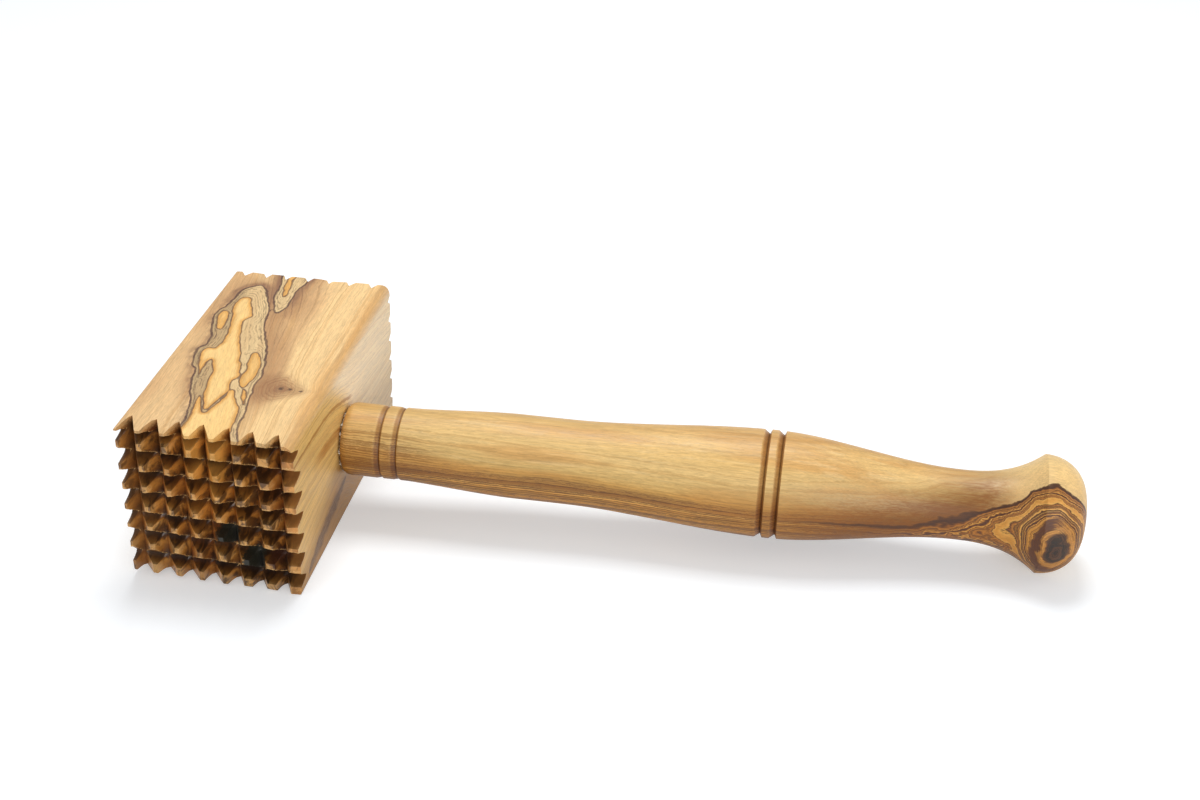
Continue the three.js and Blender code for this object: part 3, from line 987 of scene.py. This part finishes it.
# %% [markdown]
# Dried glue
#
# Glue that set outside the joint is half clear and full of dust. A mix of a dusty and a pale
# colour by one noise is enough for a bead a few tenths of a millimetre thick, and it shows how
# the bench is used before the woods come.

# %% The glue's material
def dried_glue():
    """Pale glue with trapped dust."""
    bench = PaintBench("dried_glue")
    grit = bench.noise(bench.object_place(), (1.4,) * 3, 3, 0.6)
    dusty = bench.mix(step(grit, 0.4, 0.62), 0x8B7A62, 0xF2ECDF)
    return bench.finish(dusty, 0.35 + grit * 0.3, grit, 0.15)


glue_material = dried_glue()

# %% [markdown]
# Olive wood
#
# Both pieces share the fine structure of olive wood: faint bands, fibres a few tenths of a
# millimetre wide, and short dark pores. A photographed wood would repeat and would not meet at
# the edges. So they are all noise, looked up at places that are stretched along the grain. The
# same noise drives colour, gloss and a shallow relief.
#
# Larger marks are laid over that ground like glazes of paint, one line each: where the mark
# lies, how strong it is, and its colour as a six-digit web code. Places are in millimetres.

# %% Streaks that head and handle share
def fibres_and_pores(bench, grain):
    """Three kinds of streak, each from 0 to 1: soft bands, fibres and pores."""
    bands = bench.noise(grain, (0.42, 0.022, 0.42), 3, 0.6, 0.3)
    fibres = bench.noise(grain, (1.9, 0.15, 1.9), 3, 0.7, 0.2)
    pores = bench.noise(grain, (4.5, 0.5, 4.5), 2, 0.5)
    return step(bands, 0.36, 0.64), step(fibres, 0.34, 0.66), step(pores, 0.60, 0.72)


def rings_and_hairs(bench, across, offset):
    """Year rings and thin dark lines that follow one number across the grain, each from 0 to 1."""
    rings = bench.noise_along(across * 0.30 + offset, 3, 0.62)
    hairs = bench.noise_along(across * 1.5 + offset + 30, 2, 0.6)
    return step(rings, 0.50, 0.64), step(hairs, 0.54, 0.70)


class HeadBench(PaintBench):
    """A bench with the places, streaks and unsteadiness that all parts of the head's wood share."""

    def __init__(self):
        super().__init__("head_olive_wood")
        self.place = self.object_place()
        self.across, self.along, self.up = self.parts(self.place)
        self.right = self.stored("right")
        self.top_grain, self.side_grain = self.stored("grain", 1), self.stored("side_grain", 1)
        self.grain = self.node("Mix", {"data_type": "VECTOR"}, {
            0: step(self.right, 0.4, 0.6), 4: self.top_grain, 5: self.side_grain}, 1)
        self.bands, self.fibres, self.pores = fibres_and_pores(self, self.grain)
        self.broad = self.noise(self.top_grain, (0.075, 0.014, 0.075)) - 0.5
        self.wobble = self.noise(self.place, (0.45, 0.22, 0.45), 3, 0.55) - 0.5
        self.tremble = self.noise(self.place, (2.2, 1.2, 2.2)) - 0.5


head_bench = HeadBench()
print("shared nodes of the head's wood:", len(head_bench.tree.nodes))


# %% [markdown]
# Ground of the head's faces
#
# The top face is tan sapwood that turns golden towards the handle and brown beside the figure.
# The right face was cut at another angle to the rings, so its lines climb in a sweep. Each
# face gets its own ground, and a darker line lies over the rounded edge between them.

# %% Top face and right face
def top_wood(bench, island):
    """Tan and gold sapwood, brown around the figure."""
    broad, across, along = bench.broad, bench.across, bench.along
    grain_x = bench.parts(bench.top_grain)[0]
    rings, hairs = rings_and_hairs(bench, grain_x + broad * 7 + bench.wobble * 0.8, 0)
    near = step(island + broad * 8, 9.5, 1) * step(along, -48, -24)
    near = near * step(island, -0.4, 0.4) * (1 - step(across, -17, -23) * 0.55)
    gap = step(island, 3.6, 1.2) * step(along, 28, 42)
    return bench.glaze(bench.mix(step(broad, -0.14, 0.14), 0xDCB07A, 0xEAC28A), [
        (step(across + broad * 16, 4, 13), 1, 0xF6CF92),
        (rings, 0.45, 0xD6A463),
        (hairs, 0.36, 0xB98D55),
        (step(across + broad * 10, 20, 25) * bench.bands, 0.55, 0xDDA55C),
        (near, 0.55 + bench.fibres * 0.35, 0xB58658),
        (near * hairs * step(along, -6, 16), 0.55, 0x80573A),
        (gap, 0.4 + bench.bands * 0.5, 0x8A6044),
    ])


def side_wood(bench):
    """Golden wood with climbing lines, paler at the back partly as a painted sheen, and brown below partly as
    painted shade under the handle, with one dark streak.
    """
    broad, wobble, along, up = bench.broad, bench.wobble, bench.along, bench.up
    grain_z = bench.parts(bench.side_grain)[2]
    rings, hairs = rings_and_hairs(bench, grain_z + broad * 3 + wobble * 0.8, 60)
    # Paler towards the back and top: partly paler wood and partly a painted sheen.
    pale = step(along + (up - 45) * 1.25 + broad * 12, -11, 2)
    # Brown over the lower part of the face, reaching higher towards the back: partly brown wood and partly
    # painted shade under the handle.
    brown_shade_height = (bench.maths("MINIMUM", along, -16) + 50) * 0.33
    low = step(up - brown_shade_height + broad * 12, 18, -1) * (1 - pale * 0.7)
    orange = line(grain_z + wobble * 2, 36.4, 3.2) * (1 - pale) * step(along, -42, -24)
    return bench.glaze(bench.mix(pale, 0xE0BA72, 0xF8E2BC), [
        (rings, 0.42 - pale * 0.24, 0xC2945A),
        (hairs, 0.50 - pale * 0.32, 0xA47A44),
        (low, 0.84, 0x8E5F28),
        (line(grain_z + wobble * 1.5, 47, 0.9) * step(along, 9, 3), 0.8, 0xA06C2C),
        (orange, 0.4 + bench.bands * 0.5, 0xAE7232),
        (step(bench.stored("lens") + wobble * 1.6, -0.25, 0.7), 0.55 + bench.fibres * 0.4, 0x4A2C16),
    ])


def ground_wood(bench, island):
    """Top and right face, with a darker line on the rounded edge between them."""
    wood = bench.mix(bench.right, top_wood(bench, island), side_wood(bench))
    return bench.glaze(wood, [(line(bench.across + bench.up * -0.5, -0.2, 3), 0.7, 0xC99A5E)])


print("grain places:", [name for name in head.data.attributes.keys() if "grain" in name])

# %% [markdown]
# The head's figure
#
# The stored distances become marks here. Where the distance to the island is near 0 a dark
# outline runs, inside it lies a greyish band, and inside that the yellow heart. Noise is added
# to every distance first, so that the outlines waver as grown ones do. The band carries thin
# lines that run along with both of its edges.

# %% Figure, outlines and knot
# place between the outline and the heart, width, strength
CONTOURS = [(0.16, 0.035, 0.55), (0.30, 0.045, 0.8), (0.46, 0.03, 0.5), (0.62, 0.05, 0.7), (0.80, 0.04, 0.6)]
KNOT_EYES = [((13.9, -23, 55.2), 1.2), ((17, -22.8, 55.2), 1), ((20.6, -23.3, 55.2), 0.8)]


def knot_eye(bench, middle, size):
    """A small dark spot round one place."""
    far = bench.node("VectorMath", {"operation": "DISTANCE"}, {0: bench.place, 1: middle}, 1)
    return step(far + bench.tremble * 1.8, size, size * 0.4)


def figured_wood(bench):
    """The ground with the figure and the knot, and the wavering distance to the yellow heart."""
    wobble, tremble, bands, fibres = bench.wobble, bench.tremble, bench.bands, bench.fibres
    sway = bench.noise(bench.place, (0.30, 0.17, 0.30), 1) - 0.5
    shake = sway * 2 + tremble * 0.35
    island = bench.stored("island") + shake
    heart = bench.stored("heart") + shake * 0.8
    between = bench.stored("between") + sway * 0.25 + tremble * 0.05
    left_arm = step(bench.across + bench.along * 0.2 + wobble * 4, -8, -13)
    patchy = step(bench.noise(bench.place, (0.7, 0.3, 0.7)), 0.36, 0.60)
    contrast = 0.62 + left_arm * 0.3
    band_wood = bench.glaze(bench.mix(bands * 0.6, 0xE8C790, 0xD2AC78), [(left_arm, 0.55, 0xAA8A5E)] + [
        (line(between, at, width) * patchy * contrast, strength, 0x5E3E2C)
        for at, width, strength in CONTOURS])
    heart_wood = bench.glaze(bench.mix(step(heart, -0.2, -2), 0xDDA04C, 0xFCD288), [
        (step(bench.stored("amber"), 0.3, -0.5), 0.5, 0xDCA350),
        (bands, 0.22, 0xE8B262),
    ])
    outline = line(island, 0, 0.52)
    inner = line(heart, 0, 0.38) * step(island, 0.6, 0)
    second = line(island, -1.2, 0.35) * step(wobble, -0.12, 0.06)
    lines = bench.maths("MAXIMUM", bench.maths("MAXIMUM", outline, inner * 0.85), second * 0.6)
    smoky = step(island, 3.5, 0.2) * step(island, -0.2, 0.1) * left_arm
    knot = bench.stored("knot")
    circles = step(bench.noise_along(knot * 1.1 + wobble * 3 + 7), 0.45, 0.6)
    ringed = step(knot + wobble * 7 + (bench.across - KNOT[0]) * 0.35, 14, 4)
    wood = bench.glaze(ground_wood(bench, island), [
        (step(island, 0.15, -0.15), 1, band_wood),
        (step(heart, 0.12, -0.12) * step(island, 1, 0.3), 1, heart_wood),
        (smoky * step(wobble, -0.10, 0.12), 0.5, 0x7A5640),
        (lines, 0.7 + fibres * 0.3, 0x553629),
        (ringed * step(island, -0.3, 0.3), 0.55 + fibres * 0.2 + circles * 0.25, 0x9A6A40),
        (step(knot + tremble * 2, 3.6, 2), 0.5, 0x8A5A38),
        *((knot_eye(bench, middle, size), 0.85, 0x54361F) for middle, size in KNOT_EYES),
    ])
    return wood, heart


figure_colour, figure_heart = figured_wood(head_bench)
print("with the figure:", len(head_bench.tree.nodes), "nodes")


# %% [markdown]
# Sawn teeth
#
# The saw cut across the fibres, and cut fibres soak up oil, so the teeth are far darker than
# the faces. Towards the groove bottoms and under each row of teeth they go almost black, which
# is painted shade over that dark wood. Up the flanks they are amber, and pale torn fibres lie on
# the edges with a painted highlight. How high a point lies between bottom and tip was stored
# with the mesh, so a colour ramp follows it. The flanks' own directions paint light and shade
# on them as well.

# %% Teeth, and the head's whole material
def cut_wood(bench, heart):
    """Dark cut wood with painted shade in the groove bottoms, amber flanks with painted light and shade,
    streaks, stains, and pale frayed edges with a painted highlight.
    """
    across, up, wobble, tremble = bench.across, bench.up, bench.wobble, bench.tremble
    rise, sideways, upwards = bench.stored("rise"), bench.stored("sideways"), bench.stored("upwards")
    # How far up its tooth a point lies. The ramp over it paints shade towards the groove bottoms and under
    # each row of teeth, over the dark cut wood.
    groove_shade_level = bench.stored("row_rise") * 0.6 + rise * 0.4
    tone = bench.stored("tooth_tone") - 0.5
    smoke = bench.noise(bench.place, (0.36, 0.09, 0.20), 3, 0.6, 0.7)
    threads = bench.noise(bench.place, (1.6, 0.12, 1), 2, 0.6)
    wood = bench.glaze(bench.ramp(groove_shade_level + wobble * 0.45 + tone * 0.22, [
        (0.00, 0x27160B), (0.22, 0x4E2E18), (0.50, 0x8C5A28), (0.78, 0xBC823C), (1.00, 0xE6B470)]), [
        (line(across + wobble * 10, 3, 20) * step(up, 2, 22), 0.15, 0xD98A30),
        (step(bench.stored("tooth_red"), 0.62, 1), 0.45, 0x8A4A20),
        (step(smoke + step(across, -4, 12) * 0.05, 0.46, 0.62), 0.85, 0x3A2212),
        (step(threads, 0.54, 0.70), 0.35, 0x3F2816),
        (step(across + wobble * 4, 23, 26.5), 0.45, 0xF0A85C),
        (step(across + wobble * 6, -16, -27), 0.4, 0x94683C),
        (step(heart, 5, 0) * step(rise, 0.1, 0.6), 0.6, 0xE8AC54),
    ])
    # Painted light and shade by the way each flank faces: flanks facing sideways, above all to the left, are
    # painted lighter, and flanks facing up under the row above are painted darker. The whole end is also
    # darker towards the bottom.
    lit = step(sideways, -0.1, -0.6) * 0.42 + step(sideways, 0.1, 0.6) * 0.08
    by_height = step(up, 0, 26) * 0.24
    wood = bench.shade(wood, 0.74 + lit + by_height - step(upwards, 0.1, 0.6) * 0.38)
    return bench.glaze(wood, [
        (step(bench.stored("torn") + wobble, 1.1, 0.7), 0.8, 0x3C1E12),
        # Pale frayed fibres along the tooth edges, together with a painted highlight where the lower edges
        # catch the light.
        (step(bench.stored("edge") + tremble * 1.2, 0.68, 0.92), 0.70, 0xE8BC7C),
        (step(bench.stored("stain") + wobble * 0.8 + tremble * 0.6, 1.08, 0.8), 1, 0x23221A),
    ])


def head_wood(bench, wood, teeth):
    """Sanded wood on the faces and cut wood on the teeth."""
    bands, fibres, pores, cut = bench.bands, bench.fibres, bench.pores, bench.stored("cut")
    fine = bench.noise(bench.grain, (5.5, 0.42, 5.5), 1)
    wood = bench.shade(wood, 0.71 + bands * 0.09 + fibres * 0.18 + fine * 0.36 - pores * 0.16)
    worn = step(bench.up + bench.tremble * 3, 52.4, 54.6)
    wood = bench.mix(cut, wood, bench.mix(worn * 0.6, teeth, wood))
    height = (fibres * 0.35 + bands * 0.2 - pores * 0.5) * (1 - cut * 0.7)
    return bench.finish(wood, 0.42 + fibres * 0.10 - cut * 0.12, height + bench.tremble * cut * 0.8, 0.06)


head_material = head_wood(head_bench, figure_colour, cut_wood(head_bench, figure_heart))


# %% [markdown]
# Wood of the handle
#
# The handle's colour depends on the ring that a point lies in, so a long colour ramp over the
# stored distance to the heart gives the gold and brown lines, and they run along the handle
# and curve where the turning cuts across them. From the bulge to the pommel the wood grows
# wilder: browner, then striped, and at the pommel the stripes wrap round a dark knot.

# %% Rings and streaks of the handle
RING_SPAN = 50  # the distance to the heart at which the ramp ends
RING_COLOURS = [
    (0.00, 0x6A4426), (0.16, 0x9A6A34), (0.22, 0xC48840), (0.255, 0xD39A4C), (0.275, 0x82562E),
    (0.30, 0xD39A4C), (0.345, 0xDCA654), (0.358, 0x6A4626), (0.372, 0xD69C4C), (0.405, 0xDCA856),
    (0.420, 0x6A4524), (0.436, 0xD8A254), (0.465, 0xE0B062), (0.482, 0xA07038), (0.505, 0x93652F),
    (0.535, 0xB08446), (0.575, 0xCEA25A), (0.62, 0xDCBA76), (0.74, 0xE2C080), (0.84, 0xE1B972),
    (1.00, 0xDFB06C),
]
STRIPE_COLOURS = [
    (0.00, 0xDCA654), (0.33, 0xC98C3E), (0.36, 0x3A1E0E), (0.40, 0x6E3F1A), (0.44, 0xC98C3E),
    (0.48, 0xDCA654), (0.500, 0x42240F), (0.53, 0x8C5522), (0.565, 0xB87A34), (0.60, 0x3A1E0E),
    (0.64, 0xC58838), (1.00, 0xE0AA5A),
]


def thin_lines(bench, ring, often, offset, width):
    """Thin lines along the rings, where a noise of one number passes one half."""
    return line(bench.noise_along(ring * often + offset), 0.5, width)


def striped_coats(bench, ring, station, wander, fibres):
    """The coats that depend on the ring and on the station along the handle, in order."""
    grain = bench.stored("grain", 1)
    tint = bench.noise(grain, (0.16, 0.012, 0.16))
    pale = bench.noise(grain, (0.5, 0.02, 0.5), 3, 0.65)
    fine = bench.noise_along(ring * 0.9 + 11, 3, 0.65)
    hair = thin_lines(bench, ring, 1.1, 90, 0.055)
    streaks = thin_lines(bench, ring, 2.3, 40, 0.09)
    collar_lines = thin_lines(bench, ring, 1.3, 70, 0.08) * step(station, 40, 18)
    wild_part = step(station, 140, 172)
    reddish = step(station, 105, 184) * step(station, 228, 210)
    brown = step(station, 144, 192) * step(station, 224, 206)
    stripes = bench.ramp(bench.noise_along(ring * 0.30 + 5, 1), STRIPE_COLOURS)
    return [
        (step(tint, 0.46, 0.64), 0.45, 0xC88E48),
        (step(pale, 0.52, 0.66) * step(ring, 26, 32), 0.30, 0xECD09A),
        (step(fine, 0.50, 0.66), 0.34, 0xB88C4C),
        (hair, 0.04 + step(ring, 31, 25) * 0.75, 0x5E3A1E),
        (streaks * wild_part * step(ring, 27.5, 24), 0.8, 0x50301A),
        (step(station, 24, 12), 0.30, 0xBC8A40),
        (collar_lines * step(ring, 40, 31), 0.65, 0x7A4C20),
        (step(station, 202, 218) * step(ring, 23.9, 24.6), 0.75, 0xF0CC8C),
        (reddish * step(ring + wander * 16, 43, 28), 0.42 + fibres * 0.5, 0x925A20),
        (brown * step(ring + wander * 8, 38, 27), 0.45 + fibres * 0.35, 0x784818),
        (bench.stored("wild") * step(ring, 24.2, 23.4), 1, stripes),
        (wild_part * line(ring, 23.8, 0.8), 0.85, 0x482812),
    ]


print(len(RING_COLOURS), "colours over", RING_SPAN, "mm of rings")


# %% Knot, grooves, and the handle's whole material
def knot_coats(bench, around_knot, station):
    """A brown hook on the knot's left, a pale ring, and the dark core with its own rings."""
    left_side = step(station, KNOT_STATION + 3, KNOT_STATION - 3)
    circles = bench.noise_along(around_knot * 0.9 + 3)
    core_wood = bench.mix(step(circles, 0.44, 0.58), 0x1E1511, 0x4A3022)
    return [
        (line(around_knot, 6.7, 1.4), 0.25 + left_side * 0.7, 0x57301C),
        (line(around_knot, 5, 1), 0.6, 0xC08A4C),
        (step(around_knot, 4.6, 3.9), 0.95, core_wood),
    ]


def handle_wood():
    """Rings of gold and brown round the heart, fine fibres, and a dark knot in the pommel."""
    bench = PaintBench("handle_olive_wood")
    grain, station, groove = bench.stored("grain", 1), bench.stored("station"), bench.stored("groove")
    bands, fibres, pores = fibres_and_pores(bench, grain)
    wander = bench.noise(grain, (0.07, 0.02, 0.07)) - 0.5
    flutter = bench.noise(grain, (0.35, 0.03, 0.35)) - 0.5
    ripple = bench.noise(grain, (0.20, 0.13, 0.20), 2.5) - 0.5
    slivers = bench.noise(grain, (6.5, 0.16, 6.5), 1)
    peak = line(station, RIDGE_AT, 8) * 3
    ring = bench.stored("ring") - peak + wander * 3.5 + flutter * 0.6
    ring = ring + ripple * bench.stored("wild") * 5 + (fibres - 0.5) * 0.3
    around_knot = bench.stored("knot") + ripple * 4 + flutter * 2.5
    wood = bench.ramp(ring * (1 / RING_SPAN), RING_COLOURS)
    wood = bench.glaze(wood, striped_coats(bench, ring, station, wander, fibres))
    wood = bench.glaze(wood, knot_coats(bench, around_knot, station))
    wood = bench.shade(wood, 0.66 + bands * 0.09 + fibres * 0.20 + slivers * 0.44 - pores * 0.14)
    # Painted shade in the grooves: the long flank is darkened and the bottom is almost black.
    wood = bench.mix(step(groove, 0, 0.45) * 0.85, wood, 0xBEA27C, "MULTIPLY")
    wood = bench.glaze(wood, [(step(groove, 0.7, 1), 0.6, 0x4A2C14)])
    height = fibres * 0.4 + bands * 0.2 - pores * 0.5
    rough = 0.38 + fibres * 0.12 + step(around_knot, 10, 5) * 0.15
    return bench.finish(wood, rough, height, 0.04)


handle_material = handle_wood()

# %% [markdown]
# Handing the pieces over
#
# Each piece gets its material and takes the place of one solid of the measured model. Nothing
# on a mallet moves, so all three ride on the root body.

# %% Materials and bodies
for piece, material, slot, node in [
    (head, head_material, "head_wood", "head"),
    (handle, handle_material, "handle_wood", "handle"),
    (glue, glue_material, "dried_glue", "glue_ring"),
]:
    piece.data.materials.append(material)
    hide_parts(node)
    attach(piece, "root")
    print(piece.name, "replaces", node, "and is made of", material.name)

# %% [markdown]
# Floor, light and camera
#
# The mallet lies on the handle-side edge of its head and on the pommel, so the floor is a
# plane through those two, tilted a little against the model. It shows as plain white card that
# gives a little light of its own, so that it comes out pure white away from the shadows. A
# brighter lamp could do that too, but would bleach the wood. The light that the floor throws
# back on the wood is that of a darker, warmer table.

# %% The floor
FLOOR_HALF = 1500.0
FLOOR_GLOW = 0.345
CARD = (0.752, 0.785, 0.818, 1)  # bluish, which evens out the warm light from the wood
TABLE_BOUNCE = (0.42, 0.31, 0.18, 1)
floor_slope = handle_low[2] / RIDGE_AT
corner_x, corner_y = np.meshgrid([-FLOOR_HALF, FLOOR_HALF], [-FLOOR_HALF, FLOOR_HALF], indexing="ij")
floor_points = np.stack([corner_x, corner_y, (corner_x - HALF_WIDTH) * floor_slope - 0.02], -1).reshape(-1, 3)
floor = make_piece("floor", floor_points, [np.array([[0, 2, 3, 1]])])
bench = Bench("floor_card")
rays = bench.node("LightPath")
seen = bench.maths("MAXIMUM", rays, rays.beside("Is Glossy Ray"))
seen = bench.maths("MAXIMUM", seen, rays.beside("Is Transmission Ray"))
card = bench.node("BsdfDiffuse", None, {"Color": CARD})
glow = bench.node("Emission", None, {"Color": (1, 1, 1, 1), "Strength": FLOOR_GLOW})
lit = bench.node("AddShader", None, {0: card, 1: glow})
table = bench.node("BsdfDiffuse", None, {"Color": TABLE_BOUNCE})
shown = bench.node("MixShader", None, {0: seen, 1: table, 2: lit})
bench.node("OutputMaterial", None, {"Surface": shown})
floor.data.materials.append(bench.material)

# %% [markdown]
# Lamps, sky and camera
#
# The photograph was taken under large soft lamps. A small lamp would draw hard shadows, so
# each is a big square: one high behind the mallet, a strong one low in front, and two weaker
# ones at the sides. A white sky fills the rest. The camera's place and turn were measured by
# fitting the mallet's corners, grooves and outline to the photograph.

# %% Lamps and sky
LAMP_TARGET = Vector((60, 0, 30)) * MM
SKY_STRENGTH = 0.44
# name, place in millimetres, side in millimetres, watts
LAMPS = [
    ("from_behind", (40, 320, 1000), 440, 5.7),
    ("from_left", (-750, -800, 320), 600, 1.6),
    ("from_right", (1000, 80, 450), 600, 1.0),
    ("from_front", (760, -950, 240), 600, 7.0),
]
for name, place, side, watts in LAMPS:
    data = bpy.data.lights.new(name, "AREA")
    data.size = side * MM
    data.energy = watts
    lamp = bpy.data.objects.new(name, data)
    lamp.location = Vector(place) * MM
    lamp.rotation_euler = (LAMP_TARGET - lamp.location).to_track_quat("-Z", "Y").to_euler()
    bpy.context.scene.collection.objects.link(lamp)
world = bpy.data.worlds.new("studio")
world.use_nodes = True
world.node_tree.nodes["Background"].inputs["Color"].default_value = (1, 1, 1, 1)
world.node_tree.nodes["Background"].inputs["Strength"].default_value = SKY_STRENGTH
bpy.context.scene.world = world
print(len(LAMPS), "lamps and a sky of strength", SKY_STRENGTH)

# %% The camera
CAMERA_PLACE = Vector((188.768, -527.046, 344.861)) * MM
CAMERA_RIGHT = Vector((0.98693867, 0.15806347, 0.03111272))
CAMERA_BACK = Vector((0.12348306, -0.86629546, 0.48402903))
LENS, SENSOR_WIDTH = 56.21, 36.0
camera_data = bpy.data.cameras.new("camera")
camera_data.sensor_width = SENSOR_WIDTH
camera_data.sensor_fit = "HORIZONTAL"
camera_data.lens = LENS
camera = bpy.data.objects.new("camera", camera_data)
turn = Matrix((CAMERA_RIGHT, CAMERA_BACK.cross(CAMERA_RIGHT), CAMERA_BACK)).transposed()
camera.matrix_world = Matrix.Translation(CAMERA_PLACE) @ turn.to_4x4()
bpy.context.scene.collection.objects.link(camera)
bpy.context.scene.camera = camera
bpy.context.scene.view_settings.view_transform = "Standard"
print("camera at", [round(v, 3) for v in camera.location])

# %% [markdown]
